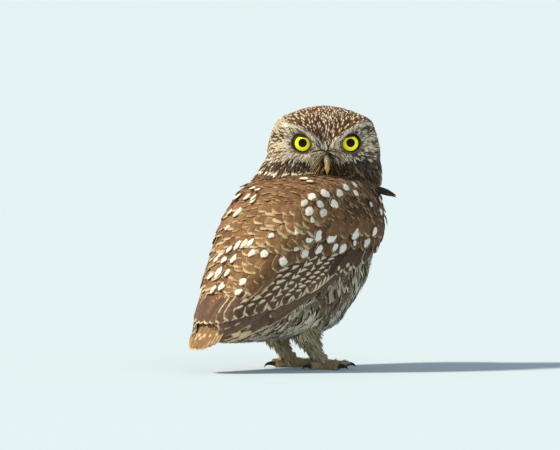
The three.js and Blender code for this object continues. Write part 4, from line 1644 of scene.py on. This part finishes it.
@dataclass
class Foot:
    """One foot: four toes and a pad in bristly skin, with hooked claws."""

    side: Side
    placing: Placing
    toes: tuple[Toe, ...] = (
        Toe("inner", -16, 18.5), Toe("middle", 7, 20.5), Toe("outer", 84, 17), Toe("back", 170, 13)
    )
    foot_x: float = 4.0
    foot_y: float = 18.0
    toe_radius: float = 3.3
    sole_depth: float = 0.6
    claw_length: float = 10.0
    claw_radius: float = 1.5
    gap: float = 0.3
    toe_shape: Table = (
        # share of the length; shares of the radius: half width, half height, height of the middle
        (0, 1, 1.15, 1.15),
        (0.3, 1, 1.12, 1.12),
        (0.45, 0.86, 0.92, 0.95),
        (0.62, 0.95, 0.96, 0.98),
        (0.75, 0.84, 0.86, 0.92),
        (0.9, 0.96, 0.98, 1),
        (1.0, 0.6, 0.62, 1),
        (1.04, 0.3, 0.3, 1),
    )

    def at(self, toe: Toe, reach: float, height: float) -> list[float]:
        """A point over a toe's line."""
        turn = math.radians(toe.turn)
        return [self.foot_x + 2 + reach * math.cos(turn),
                self.side.value * (self.foot_y + reach * math.sin(turn)), height]

    def toe_line(self, toe: Toe) -> Array:
        """Stations of one toe."""
        r = self.toe_radius
        return np.array([[*self.at(toe, s * toe.length, m * r - self.sole_depth), a * r, u * r]
                         for s, a, u, m in self.toe_shape])

    def skin(self) -> Object:
        """Fuse the toes and pad to one skin, flat where it meets the floor.

        Returns:
            The linked skin.
        """
        bm = bmesh.new()
        for toe in self.toes:
            loft(bm, self.placing, limb_rings(self.toe_line(toe), 20, 26))
        y = self.side.value * self.foot_y
        pad = [(self.foot_x + ahead, y, height, r, r)
               for ahead, height, r in ((3.2, -0.5, 5), (2, 4, 5.4), (1, 10.5, 4.6))]
        loft(bm, self.placing, limb_rings(np.array(pad), 24, 12))
        made = fused(bm, f"toes_{self.side.word}", 0.55, 4)
        for vertex in made.data.vertices:
            vertex.co.z = max(vertex.co.z, 0.0)
        return made

    def claw(self, toe: Toe) -> Object:
        """Shape one claw, curved down to the floor.

        Args:
            toe: the toe that it ends.

        Returns:
            The linked claw.
        """
        rows = []
        for s in np.linspace(0, 1, 14):
            reach = toe.length + 2 * self.gap + self.claw_length * 0.9 * math.sin(math.pi / 2 * s * 0.86)
            z = self.toe_radius - self.sole_depth + 0.9 * math.sin(math.pi * s * 0.9) - 2.4 * s * s
            r = self.claw_radius * (1 - s) ** 0.75 + 0.08
            rows.append([*self.at(toe, reach, z), r, r * 1.15])
        return limb(f"talon_{self.side.word}_{toe.name}", self.placing, np.array(rows), 16, 22)

    def bristles(self, rng: Rng) -> Feathers:
        """Lay short bristly feathers over the tops of the toes.

        Args:
            rng: seeded draws.

        Returns:
            The bristles.
        """
        rows = BRISTLE.rows
        laid = []
        for number, toe in enumerate(self.toes):
            count = int(11 * toe.length)
            spine, normal, chart = over_limb(
                self.toe_line(toe), rows, count, (0, 5.6), 74, (3.0, 4.6), 0.2, rng
            )
            corner = np.array([0.12 * number + 0.5 * (self.side is Side.LEFT), 0.95])
            laid.append((spine, normal, chart * (0.1, 0.04) + corner))
        spine, normal, chart = (np.concatenate(x) for x in zip(*laid))
        count = len(spine)
        look = Look(("#B49A70", "#E2D2AE"), fringe=0.0, streak=0.0)
        return Feathers(spine, normal, rng.uniform(0.8, 1.3, count), rng.normal(0, 0.3, count),
                        look.draw(count, rng), chart)

    def build(self) -> None:
        """Make the foot and its claws."""
        skin = BareSkin(name=f"toe_skin_{self.side.word}", colour="#A8926C", roughness=0.7)
        finish_piece(self.skin(), "toe", skin.make(), f"foot_{self.side.word}")
        for toe in self.toes:
            ends = (toe.length, toe.length + 9)
            start, end = (self.placing.metres(self.at(toe, reach, 2.5)) for reach in ends)
            horn = Horn(name=f"claw_horn_{self.side.word}_{toe.name}", root="#3A332D", tip="#0E0C0B",
                        start=tuple(start), end=tuple(end), roughness=0.28)
            finish_piece(self.claw(toe), "claw", horn.make(), f"claw_{self.side.word}_{toe.name}")


@dataclass
class Tail:
    """The closed tail: twelve flight feathers in a shallow fan, the middle pair on top."""

    root: tuple[float, float] = (-66.0, 60.0)
    tip: tuple[float, float] = (-102.0, 17.5)
    count: int = 12
    fan: tuple[float, float] = (1.5, 2.4)
    droop: float = 2.6
    arch: float = 2.5
    width: float = 12.0
    look: Look = Look(("#80603F", "#A07C53"), "#E0C698", 0.09, spot=0.26, spotted=0.3, spot_at=0.8)

    def grow(self, rng: Rng) -> Feathers:
        """Lay the tail's feathers.

        Args:
            rng: seeded draws.

        Returns:
            The feathers.
        """
        root, tip = (np.array([x, 0, z]) for x, z in (self.root, self.tip))
        length = np.linalg.norm(tip - root)
        ahead = (tip - root) / length
        up = np.cross(ahead, [0.0, 1.0, 0.0])
        up *= np.sign(up[2])
        rows = FLIGHT.rows
        number = np.arange(self.count) - (self.count - 1) / 2
        outward = np.abs(number) / number[-1]
        sideways = number[:, None] * (self.fan[0] + (self.fan[1] - self.fan[0]) * rows)
        sag = outward[:, None] * (0.8 + self.droop * rows) - self.arch * np.sin(np.pi * rows)
        spine = (
            root
            + ahead * (length * rows[None, :, None] * (1 - 0.14 * outward[:, None, None] ** 2))
            + np.array([0, 1, 0]) * sideways[..., None]
            - up * sag[..., None]
        )
        normal = np.broadcast_to(up, spine.shape)
        chart = np.stack([0.4 + 0.2 * (number / number[-1] + 1) / 2, np.full(self.count, 0.62)], -1)
        return Feathers(spine, normal, np.full(self.count, self.width), np.radians(-3.5) * np.sign(number),
                        self.look.draw(self.count, rng), chart)


@dataclass
class Plumage:
    """All tracts of feathers over the skin."""

    form: Form
    body: Body
    head: HeadForm
    placing: Placing
    skin: Skin
    tree: BVHTree
    rng: Rng
    bulk_end: Table = (
        # angle, slice at which the brown feathers of the back and wing end over the flight feathers
        (0, 9.2), (21, 9.2), (30, 8.9), (38, 8), (42, 7.2), (52, 6.7), (67, 6.3), (84, 5.9), (95, 5.6),
        (122, 5.8),
    )
    mantle_spots: Table = (
        # slice, angle on the right side, half width in mm, length over width
        (1.6, -30, 2.3, 1), (1.8, -39, 2.4, 1), (2.6, -57, 3, 1), (2.9, -48, 2.5, 1.2), (3.2, -68, 3, 1.1),
        (3.3, -57, 3, 0.9), (3.4, -47, 2.4, 1.2), (3.8, -51, 2.6, 1), (3.8, -62, 2.7, 1.3),
        (4.2, -56, 2.6, 1.3), (2, -75, 2.5, 1), (2.5, -71, 2.6, 1.1), (2.3, -89, 2.6, 1),
        (1.6, -84, 2.2, 1), (6.4, 14, 2.2, 1.3), (6.2, 6, 2.3, 1.2), (6, -4, 2.3, 1.3),
        (5.9, -11, 2.4, 1.3), (5.8, -19, 2.4, 1.3), (6.3, -23, 2.4, 1.4), (6.3, -33, 2.3, 1.4),
        (6.6, -50, 3.2, 1.3), (6.7, -6, 2.6, 1.2), (6.8, 6, 2.5, 1.2), (6.8, 19, 2.3, 1.2),
        (7.5, 8, 2.7, 1.2), (7.7, 18, 2.3, 1.2), (7.5, -5, 2.6, 1.3), (8.3, -6, 2.6, 1.3),
        (8.5, 6, 2.4, 1.3), (4.1, 28, 2.8, 1.2), (4.1, 16, 2.5, 1.2), (3.2, 29, 2.3, 1.1),
        (3.2, 14, 2.2, 1.2), (3.2, 6, 2.1, 1.3), (3.4, 1, 2.1, 1.2), (2.4, 41, 2.3, 1), (2.6, 17, 2, 1),
        (2.7, 9, 2, 1), (7.9, -28, 2.6, 1.3), (5.3, -33, 2, 1.5), (5, 22, 2, 1.2), (8.5, -29, 2.5, 1.4),
    )
    wing_spots: Table = (
        (3.4, -120, 2.5, 1.2), (4.6, -113, 2.6, 1.8), (5.3, -109, 2.6, 1.2), (4.8, -96, 2.9, 1.3),
        (5.4, -98, 2.4, 1.1), (5.2, -76, 3, 1.3), (5.3, -59, 3, 1.2), (5, -63, 2.6, 1.1),
        (4.9, -50, 2.6, 1.6), (5.9, -55, 2.4, 1.3), (5.6, -122, 2.3, 1), (5.8, -91, 2.3, 1.6),
        (5.9, -70, 2.4, 1.5), (5.7, -82, 2.2, 1.4), (4, -128, 2.2, 1.2), (3, -108, 2.2, 1),
        (2.6, -122, 2, 1), (6.2, -62, 2.4, 1.3),
    )

    def in_bulk(self, length: float) -> Callable[[Array, Array], Array]:
        """Keep only the roots whose feathers of a length end over the flight feathers."""
        at, end = zip(*self.bulk_end)
        return lambda t, angle: t + length / 13.0 < np.interp(np.abs(angle), at, end)

    def mantle_look(self, looks: Looks, t: Array, angle: Array, rng: Rng) -> None:
        """Make the collar band paler and plainer, and the wing darker than the mantle."""
        looks.tint((t < 0.9, "#8D6B48", 0.6), (np.abs(angle) > 85, "#4C3524", 0.5))

    def inner_look(self, looks: Looks, share: Array, rng: Rng) -> None:
        """Leave the innermost secondaries plain, with their pale edges alone."""
        looks.bars *= 1 + 0.06 * np.sin(9.0 * share)
        looks.bars[share > 0.66] = 0.0

    def belly_look(self, looks: Looks, t: Array, angle: Array, rng: Rng) -> None:
        """Thin the dark streaks out towards the vent and the middle of the belly, and paint shade under the
        wing's edge and towards the vent.

        Args:
            looks: the markings, which are changed.
            t, angle: places of the roots.
            rng: seeded draws.
        """
        # shaded_under_wing: the flank just under the wing's edge, where the wing casts shade.
        draw, shaded_under_wing = rng.random(len(t)), np.abs(angle) < self.form.edge(t) + 24
        looks.streak *= rng.random(len(t)) < np.where(t > 9.5, 0.2, 0.4)
        column, row = ((angle + 180) / 8).astype(int), (t * 1.1 + 0.5 * ((angle + 180) // 8 % 2)).astype(int)
        dark = rng.random((46, 16))[column, row] < np.where(t > 10.5, 0.12, 0.42)
        looks.tint(
            (dark & (draw < 0.8), "#5C4531", 0.88),
            # Painted shade: scattered feathers just under the wing's edge are darkened.
            ((draw < 0.4) & (t > 5.5) & shaded_under_wing, "#75624A", 0.85),
            (draw > 0.85, "#A5937A", 0.6),
            # Painted shade: the lower belly towards the vent is darkened, where wing and tail shade it.
            (t > 9.5, "#5F533F", 0.4),
        )

    def neck_look(self, looks: Looks, local: Array, points: Array, rng: Rng) -> None:
        """Lay a dark flecked line and a white collar under the face, painted shade beside the bill on the
        left, brown behind and streaks below.

        Args:
            looks: the markings, which are changed.
            local, points: the roots in the head's and in the form's frame.
            rng: seeded draws.
        """
        forward, left, up = local.T
        t, angle = nearest_on(self.form, points)
        draw = rng.random(len(t))
        below = np.abs(angle) > self.form.edge(t) - 6
        face = forward > -6
        line = face & (up > 151.6) & (left < 4) & ~below
        collar = face & (up > 149.2) & (up <= 151.6) & (left < -6) & ~below
        # Painted shade over dark feathers: the owl's left side beside and below the bill, away from the sun,
        # goes near black with a few buff flecks.
        shade = face & (left >= 4) & (up > 143) & ~below
        looks.tint(
            (below, "#E2D8C2", 1),
            (below & (draw < 0.34), "#7A5E42", 0.9),
            (line, "#4A3522", 0.8),
            (line & (draw < 0.35), "#C3A473", 0.9),
            (collar, "#F6EEDD", 1),
            # Painted shade on the left side by the bill, with buff flecks.
            (shade, "#241913", 0.88),
            (shade & (draw < 0.22), "#8C7452", 1),
        )
        looks.streak[:] = np.where(below & (draw > 0.62), 0.6, 0.0)
        looks.streak[face & (draw > 0.8) & ~collar] = 0.4

    def face_look(self, looks: Looks, local: Array, points: Array, rng: Rng) -> None:
        """Whiten the face between and under the eyes, fleck its outer parts with brown, and darken its lower
        left side, partly with painted shade.

        Args:
            looks: the markings, which are changed.
            local, points: the roots in the head's and in the form's frame.
            rng: seeded draws.
        """
        _, left, up = local.T
        side = np.abs(left)
        away = self.head.from_eye(left, up)
        draw = rng.random(len(left))
        between, under_brow = (side < 9) & (up > 160), brow_height(left) - up
        looks.tint(
            (away < 11.5, "#E4DAC4", 0.6),
            (between, "#E9DEC6", 0.5),
            (between & (draw < 0.3), "#6A5038", 0.85),
            ((under_brow < 8) & (side > 7) & (draw > 0.56), "#5A4531", 0.85),
            ((away > 11.5) & (side > 6) & (draw < 0.28), "#5B402A", 0.9),
            ((up < 157) & (draw < 0.8), "#33241A", 0.9),
            ((side > 24) & (up > 168) & (draw < 0.36), "#4A3725", 0.85),
            # Dark flecks on the lower left of the face: partly dark feathers, partly painted shade on the
            # side away from the sun.
            ((left > 8) & (up < 163) & (draw > 0.55), "#2C2018", 0.9),
            ((left < -22) & (up > 173.5), "#E6D6B6", 0.75),
        )
        looks.streak[:] = np.where(rng.random(len(left)) < 0.4, 0.5, 0.0)

    def crown_look(self, looks: Looks, local: Array, points: Array, rng: Rng) -> None:
        """Draw the crown's round spots out into streaks on the forehead.

        Args:
            looks: the markings, which are changed.
            local, points: the roots in the head's and in the form's frame.
            rng: seeded draws.
        """
        forward, left, up = local.T
        ahead = smooth(12, 26, forward)
        looks.spot_long[:] = 1.25 + 1.6 * ahead
        looks.spot[:] *= 1 - 0.25 * ahead
        looks.spot[rng.random(len(left)) < 0.42 * smooth(4, -8, forward)] = 0.0
        looks.spot_side[:] = 0.0
        patch = (left < -27) & (up > 172) & (forward > 2)
        looks.tint((patch & (rng.random(len(left)) < 0.7), "#E6D6B6", 0.85))

    def back(self) -> Coat:
        """Lay mantle, scapulars, rump and the tail's coverts.

        Returns:
            The coat.
        """
        coat = Coat("mantle_feathers", CONTOUR)
        collar = BodyTract(
            Lay(11, 6.5, -0.3, 3.2, 3.8), Look(("#7A5838", "#9A744C"), "#B8986C", 0.04), 0.1, 1.8, at(-118),
            at(118), repaint=self.mantle_look,
        )
        mantle = BodyTract(
            Lay(17, 11, 0.5, 4.4, 5.4), Look(("#72502F", "#977149"), "#B8976C", 0.05), 1.2, 8.6, at(-26),
            at(26), keep=self.in_bulk(17), repaint=self.mantle_look,
        )
        coat.parts += [tract.grow(self.form.place, CONTOUR, self.rng) for tract in (collar, mantle)]
        for side in Side:
            shoulder = BodyTract(
                Lay(15, 9.5, 0.1, 4.2, 5), Look(("#6E4E30", "#936C44"), "#A98660", 0.04), 1.0, 4.6,
                at(side.value * 18), at(side.value * 84), keep=self.in_bulk(15), repaint=self.mantle_look,
            )
            scapulars = BodyTract(
                Lay(24, 15, 1.3, 6.6, 8.4), Look(("#755334", "#9C774E"), "#D2B88C", 0.09), 2.6, 7.6,
                at(side.value * 14), at(side.value * 74), keep=self.in_bulk(24), repaint=self.mantle_look,
            )
            coat.parts += [tract.grow(self.form.place, CONTOUR, self.rng) for tract in (shoulder, scapulars)]
        rump = BodyTract(
            Lay(19, 11, 0.9, 4.2, 5, root=-2),
            Look(("#5E432B", "#7E5B39"), "#E2CFAC", 0.1, spot=0.34, spotted=0.45), 7.6, 12.2, at(-62),
            at(62),
        )
        coat.parts.append(rump.grow(partial(self.body.place, depth=1.0), CONTOUR, self.rng))
        tail_coverts = BodyTract(
            Lay(19, 12, -0.6, 4, 5, root=-2.4), Look(("#6A4C31", "#8A6543"), "#E2CFAC", 0.1), 8.8, 10.4,
            at(-34), at(34), flow=0.0,
        )
        coat.parts.append(tail_coverts.grow(partial(self.form.place, inset=1.5), CONTOUR, self.rng))
        return coat

    def spots(self) -> Coat:
        """Lay the white-ended feathers of back and wings; the left wing mirrors the right one.

        Returns:
            The coat.
        """
        plain = Look(("#6A4A2E", "#8A6642"), "#F6EFDF", 0.03)
        dark = Look(("#553C27", "#6E4F32"), "#F2ECE0", 0.03)
        shoulder = tuple(place for place in self.mantle_spots if place[1] < -34)
        coat = Coat("white_spotted_feathers", CONTOUR)
        for places, look, sign, tip in ((self.mantle_spots, plain, 1, 2.0), (shoulder, plain, -1, 0.9),
                                        (self.wing_spots, dark, 1, 2.0), (self.wing_spots, dark, -1, 1.6)):
            coat.parts.append(WhiteSpots(places, look, tip=tip).grow(self.form, sign, self.rng))
        return coat

    def wing(self, side: Side) -> tuple[Coat, Coat]:
        """Lay the feathers of one folded wing.

        Args:
            side: which wing.

        Returns:
            Its coverts and its flight feathers.
        """
        coverts = Coat(f"wing_coverts_{side.word}", CONTOUR)
        lesser = BodyTract(
            Lay(12, 8, -0.2, 3.9, 4.6), Look(("#63462D", "#86623F"), "#B2946A", 0.05), 0.3, 5.6,
            at(side.value * 62), lambda t: side.value * (self.form.edge(t) + 1), keep=self.in_bulk(12),
            repaint=self.mantle_look,
        )
        coverts.parts.append(lesser.grow(self.form.place, CONTOUR, self.rng))
        brown = Look(("#63462D", "#84613E"), "#BFA176", 0.05, fringe_spread=0.04)
        slate = Look(("#4A372A", "#604736"), "#D9C8A8", 0.09, spot=0.34, spotted=0.4, spot_at=0.84)
        tiers = (
            Tier(5, ((5.0, 121), (5.4, 100)), ((6.5, 117), (7.1, 105), (7.3, 92)),
                 Lay(20, 10, 0.2), slate),
            Tier(13, ((3.9, 122), (4.2, 90), (4.6, 58), (5.4, 40)),
                 ((5.9, 122), (5.65, 96), (6.0, 82), (6.4, 66), (6.8, 52), (7.6, 42), (8.4, 37)),
                 Lay(24, 12, 0.5), brown),
            Tier(12, ((3.0, 124), (3.2, 90), (3.6, 56)), ((5.0, 121), (4.9, 95), (5.5, 58), (5.9, 44)),
                 Lay(20, 12, 0.9), brown),
        )
        coverts.parts += [tier.grow(self.form, CONTOUR, side, self.rng) for tier in tiers]
        flight = Coat(f"wing_flight_feathers_{side.word}", FLIGHT)
        dark = Look(("#5A4233", "#755844"), "#DCC8A0", 0.17, fringe_spread=0.05, bars=11.0)
        plain = Look(("#5A4436", "#735A47"), "#D6BC92", 0.15, spot=0.4, spotted=0.35, spot_at=0.84,
                     spot_long=1.8)
        tiers = (
            Tier(8, ((6.4, 112), (6.9, 84)),
                 ((9.9, 66.5), (11, 58), (11.8, 53), (12.45, 48.5), (12.5, 44), (12.1, 39), (11.6, 34),
                  (11, 28)),
                 Lay(60, 11, -0.8), plain, overlap=0.25),
            Tier(11, ((5.9, 104), (5.4, 78), (5.6, 50), (6.4, 30)),
                 ((8.2, 82), (8.9, 70), (9.5, 58), (9.9, 46), (10.3, 35), (10.7, 22), (10.8, 3.5)),
                 Lay(48, 12, -0.3), dark, overlap=0.22, repaint=self.inner_look),
            Tier(6, ((5.9, 48), (6.2, 30), (6.6, 8)), ((8.6, 38), (9.3, 27), (9.8, 15), (10.1, 2)),
                 Lay(40, 17, 0.4), Look(("#74533A", "#96704A"), "#DCC498", 0.11)),
        )
        flight.parts += [tier.grow(self.form, FLIGHT, side, self.rng) for tier in tiers]
        return coverts, flight

    def underparts(self) -> Coat:
        """Lay breast, belly, flanks and vent.

        Returns:
            The coat.
        """
        coat = Coat("belly_feathers", PLUME)
        for side in Side:
            tract = BodyTract(
                Lay(22, 6.6, 0.9, 3.2, 3.2, jitter=8),
                Look(("#BBAE92", "#EBE2CC"), "#F0E8D6", 0.04, streak=0.5), 0.2, 12.5,
                lambda t: side.value * (self.form.edge(t) - 8), at(side.value * 180), flow=0.0,
                repaint=self.belly_look,
            )
            coat.parts.append(tract.grow(self.body.place, PLUME, self.rng))
        return coat

    def bend_tuft(self) -> Feathers:
        """Lay a few dark pointed feathers that stand off the bend of the right wing.

        Returns:
            The feathers.
        """
        count = 6
        rows = PLUME.rows
        root = self.form.place(self.rng.uniform(1.4, 1.9, count), self.rng.uniform(-132, -128, count), 1.5)
        way = unit(np.array([0.76, -0.6, -0.1]) + self.rng.normal(0, 0.04, (count, 3)))
        span = self.rng.uniform(12, 15.5, count)[:, None] * rows
        sag = np.array([0, 0, 1.0]) * (0.012 * span**2)[..., None]
        spine = root[:, None] + way[:, None] * span[..., None] - sag
        normal = np.broadcast_to(unit(np.array([-0.4, -0.5, 0.75])), spine.shape)
        looks = Look(("#33241A", "#4A3524"), "#B89C70", 0.03).draw(count, self.rng)
        chart = np.tile([0.15, 0.62], (count, 1)) + self.rng.uniform(0, 0.02, (count, 2))
        width = self.rng.uniform(3.4, 4.6, count)
        return Feathers(spine, normal, width, self.rng.normal(0, 0.2, count), looks, chart)

    def on_head(self) -> list[Coat]:
        """Lay crown, nape, face, brows, collar and the bristles beside the bill.

        Returns:
            The coats.
        """
        def above_brow(f: Array, l: Array, z: Array) -> Array:
            """Height over the brow's line, from places forward, left and up; all is crown behind."""
            return z - brow_height(l) + 60 * smooth(2, -14, f)

        def off_eye(f: Array, l: Array, z: Array) -> Array:
            """Leave the eye itself bare."""
            return (self.head.from_eye(l, z) > 6.7) | (f < 0)

        def along_brow(local: Array) -> Array:
            """Outward along the brow's line."""
            left = local[:, 1]
            step = np.where(left < 0, -1.0, 1.0)
            climb = brow_height(left + step) - brow_height(left - step)
            return np.stack([0 * left, step, climb / 2 + 0.15], -1)

        crown = HeadTract(
            "crown", Lay(8, 4, 0.8, root=-1.1, jitter=6),
            Look(("#553823", "#785436"), "#F0DFBE", 0.0, spot=0.42, spotted=0.85, spot_at=0.8), 2.6,
            lambda f, l, z: (z > 153) & (above_brow(f, l, z) > 1.2), repaint=self.crown_look,
        )
        face = HeadTract(
            "face", Lay(9.5, 2.1, 0.95, root=-0.7, jitter=7),
            Look(("#E0C498", "#FAEBD0"), "#F0E8D8", 0.0, streak=0.3), 1.25,
            lambda f, l, z: (z > 152.4) & (above_brow(f, l, z) <= 1.6) & off_eye(f, l, z),
            repaint=self.face_look,
        )
        brow = HeadTract(
            "brow", Lay(10, 1.7, 1.5, root=-0.5, jitter=8),
            Look(("#E2D3B0", "#FFFBF0"), "#FFFFFF", 0.0, streak=0.2, streak_spread=1.0), 1.2,
            lambda f, l, z: (np.abs(above_brow(f, l, z)) < 0.8) & (f > 10) & (abs(l) > 2) & (abs(l) < 29),
            aim=along_brow,
        )
        ruff = HeadTract(
            "ruff", Lay(9.5, 3.4, 0.9, root=-1.3, jitter=7), Look(("#6A4A2E", "#8A6642"), "#C9AC80", 0.06),
            1.9, lambda f, l, z: (z > 131) & (z < 154.2), repaint=self.neck_look,
        )
        coats = []
        for tract, vane in ((crown, SMALL), (face, PLUME), (brow, PLUME), (ruff, PLUME)):
            coat = Coat(f"{tract.name}_feathers", vane)
            coat.parts.append(tract.grow(self.tree, self.head, vane, self.rng))
            coats.append(coat)
        coats[-1].parts.append(self.bend_tuft())
        coats.append(Coat("bill_bristles", BRISTLE, [self.bill_bristles()]))
        return coats

    def bill_bristles(self) -> Feathers:
        """Lay curved fans of bristles from both sides of the bill's root, outward and down.

        Returns:
            The bristles.
        """
        count = 620
        rng = self.rng
        rows = BRISTLE.rows
        side = np.where(rng.random(count) < 0.5, 1.0, -1.0)
        fan = rng.random(count)
        root = np.stack([33.2 + rng.uniform(-0.8, 1.2, count), side * (1.2 + 2.2 * rng.random(count)),
                         161.5 - 9.5 * fan + rng.normal(0, 0.8, count)], -1)
        reach = rng.uniform(8.5, 13.5, count) * (1 - 0.2 * fan)
        outward = side * (0.98 - 0.55 * fan + rng.normal(0, 0.16, count))
        fall = -(0.05 + 0.8 * fan) + rng.normal(0, 0.16, count)
        run = reach[:, None] * rows
        drop = 0.042 * run**2
        local = root[:, None] + np.stack([
            0.26 * run - 0.028 * run**2,
            outward[:, None] * (run - 0.018 * run**2),
            fall[:, None] * run - drop,
        ], -1)
        spine = self.head.to_body(local)
        normal = np.broadcast_to(self.head.direction([1, 0, 0.2]), spine.shape)
        looks = Look(("#2C1D12", "#4A3522"), fringe=0.0).draw(count, rng)
        # Fewer pale bristles on the owl's left side: painted shade on the side away from the sun, over dark
        # bristles.
        looks.tint(
            (rng.random(count) < np.where(side > 0, 0.16, 0.36), "#CFAF7A", 0.9),
            ((fan < 0.3) & (rng.random(count) < 0.35), "#E6DAC2", 0.9),
        )
        chart = np.stack([0.5 + 0.01 * local[:, 0, 1], 0.8 + 0.01 * fan], -1)
        width = rng.uniform(0.55, 0.95, count)
        return Feathers(spine, normal, width, rng.normal(0, 0.3, count), looks, chart)

    def legs(self) -> Coat:
        """Lay soft short feathers down both legs.

        Returns:
            The coat.
        """
        coat = Coat("leg_feathers", PLUME)
        rows = PLUME.rows
        for side in Side:
            line = self.skin.leg_line(side)
            for first, last, count, length in ((0.2, 2.0, 260, (8, 11.5)), (1.4, 4.9, 700, (5, 8))):
                spine, normal, chart = over_limb(line, rows, count, (first, last), 180, length, 0.1, self.rng)
                look = Look(("#A8946F", "#DCCDAC"), fringe=0.0, streak=0.2, streak_spread=1.0)
                corner = np.array([0.7 + 0.15 * (side is Side.LEFT), 0.02])
                width = self.rng.uniform(0.32, 0.46, count) * length[0]
                coat.parts.append(Feathers(spine, normal, width, self.rng.normal(0, 0.2, count),
                                           look.draw(count, self.rng), chart * (0.12, 0.1) + corner))
        return coat

    def build(self, keratin: Material) -> None:
        """Build every coat.

        Args:
            keratin: the feathers' material.
        """
        coats = [(self.back(), "plumage"), (self.spots(), "plumage")]
        coats += [(self.underparts(), "belly"), (self.legs(), "belly")]
        for side in Side:
            coverts, flight = self.wing(side)
            coats += [(coverts, "plumage"), (flight, "flight")]
        coats += [(coat, "plumage") for coat in self.on_head()]
        for coat, slot in coats:
            finish_piece(coat.build(self.placing), slot, keratin)
        tail = Coat("tail_feathers", FLIGHT, [Tail().grow(self.rng)])
        finish_piece(tail.build(self.placing), "flight", keratin, "tail")


@dataclass
class Studio:
    """A plain pale floor, soft light from the upper left, and the camera."""

    placing: Placing
    azimuth: float = -40.0
    elevation: float = 2.2
    distance: float = 5.0
    frame_width: float = 414.4  # mm across the picture at the owl
    centre_right: float = -14.8  # mm from the form's axis to the picture's middle
    centre_height: float = 106.2
    sensor: float = 36.0
    floor_colour: str = "#D3E4F1"
    sky_colour: str = "#E2F0F4"
    sky_strength: float = 0.42
    floor_radius: float = 120.0  # m
    view_depth: float = 400.0  # m

    def floor(self) -> None:
        """A wide pale floor."""
        bm = bmesh.new()
        bmesh.ops.create_circle(bm, cap_ends=True, segments=96, radius=self.floor_radius)
        floor = object_from(bm, "floor")
        # Rolled uncoated paper: matt and even, so the shadow on it is soft and plain. Its fibres are
        # too fine to show and carry no pattern.
        material, add = new_material("floor_paper")
        shader = add("BsdfPrincipled", named={
            "Base Color": self.floor_colour, "Roughness": 0.9, "Specular IOR Level": 0.1,
        })
        add("OutputMaterial", shader)
        floor.data.materials.append(material)

    def lights(self) -> None:
        """A broad sun from the upper left and a bright even sky."""
        world = bpy.data.worlds.new("sky")
        world.use_nodes = True
        back = world.node_tree.nodes["Background"]
        back.inputs["Color"].default_value = (*linear(self.sky_colour), 1.0)
        back.inputs["Strength"].default_value = self.sky_strength
        bpy.context.scene.world = world
        for name, colour, strength, turn, height, spread in (
            ("sun", "#FFF1DC", 4.0, -82, 44, 7),
            ("fill", "#E6F0FF", 0.25, 20, 30, 60),
        ):
            light = bpy.data.lights.new(name, "SUN")
            light.energy = strength
            light.color = linear(colour)
            light.angle = math.radians(spread)
            source = toward(self.azimuth + turn, height)
            linked(name, light).rotation_euler = source.to_track_quat("Z", "Y").to_euler()

    def camera(self) -> None:
        """A long lens at the photograph's viewing angle."""
        around = math.radians(self.azimuth)
        right = np.array([math.cos(around), math.sin(around), 0.0])
        back = toward(self.azimuth, self.elevation)
        target = self.placing.metres(right * self.centre_right + np.array([0, 0, self.centre_height]))
        camera = bpy.data.cameras.new("camera")
        camera.sensor_width = self.sensor
        camera.lens = self.sensor * self.distance / (self.frame_width * MM)
        camera.clip_end = self.view_depth
        holder = linked("camera", camera)
        holder.location = Vector(target) + back * self.distance
        holder.rotation_euler = back.to_track_quat("Z", "Y").to_euler()
        bpy.context.scene.camera = holder

    def build(self) -> None:
        """Set the stage."""
        self.floor()
        self.lights()
        self.camera()
        bpy.context.scene.view_settings.view_transform = "Standard"


def main() -> None:
    """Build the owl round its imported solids."""
    logging.basicConfig(level=logging.INFO, format="%(name)s %(message)s")
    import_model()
    rng = np.random.default_rng(SEED)
    form, head = Form(), HeadForm()
    body = Body(form)
    placing = Placing.from_frame(head)
    Studio(placing).build()

    skin = Skin(form, body, head, placing)
    flesh = ["head", "neck", "torso", "mantle"]
    flesh += [f"{part}_{side.word}" for part in ("wing", "leg") for side in Side]
    skin_piece = finish_piece(skin.build(), "plumage", SkinDown().make(), *flesh)
    keratin = FeatherKeratin().make()
    Plumage(form, body, head, placing, skin, skin.tree(skin_piece.data), rng).build(keratin)
    for side in Side:
        Eye(side, head, placing).build()
        foot = Foot(side, placing)
        foot.build()
        bristles = Coat(f"toe_bristles_{side.word}", BRISTLE, [foot.bristles(rng)])
        finish_piece(bristles.build(placing), "toe", keratin)
    Bill(head, placing).build()


if __name__ == "__main__":
    main()
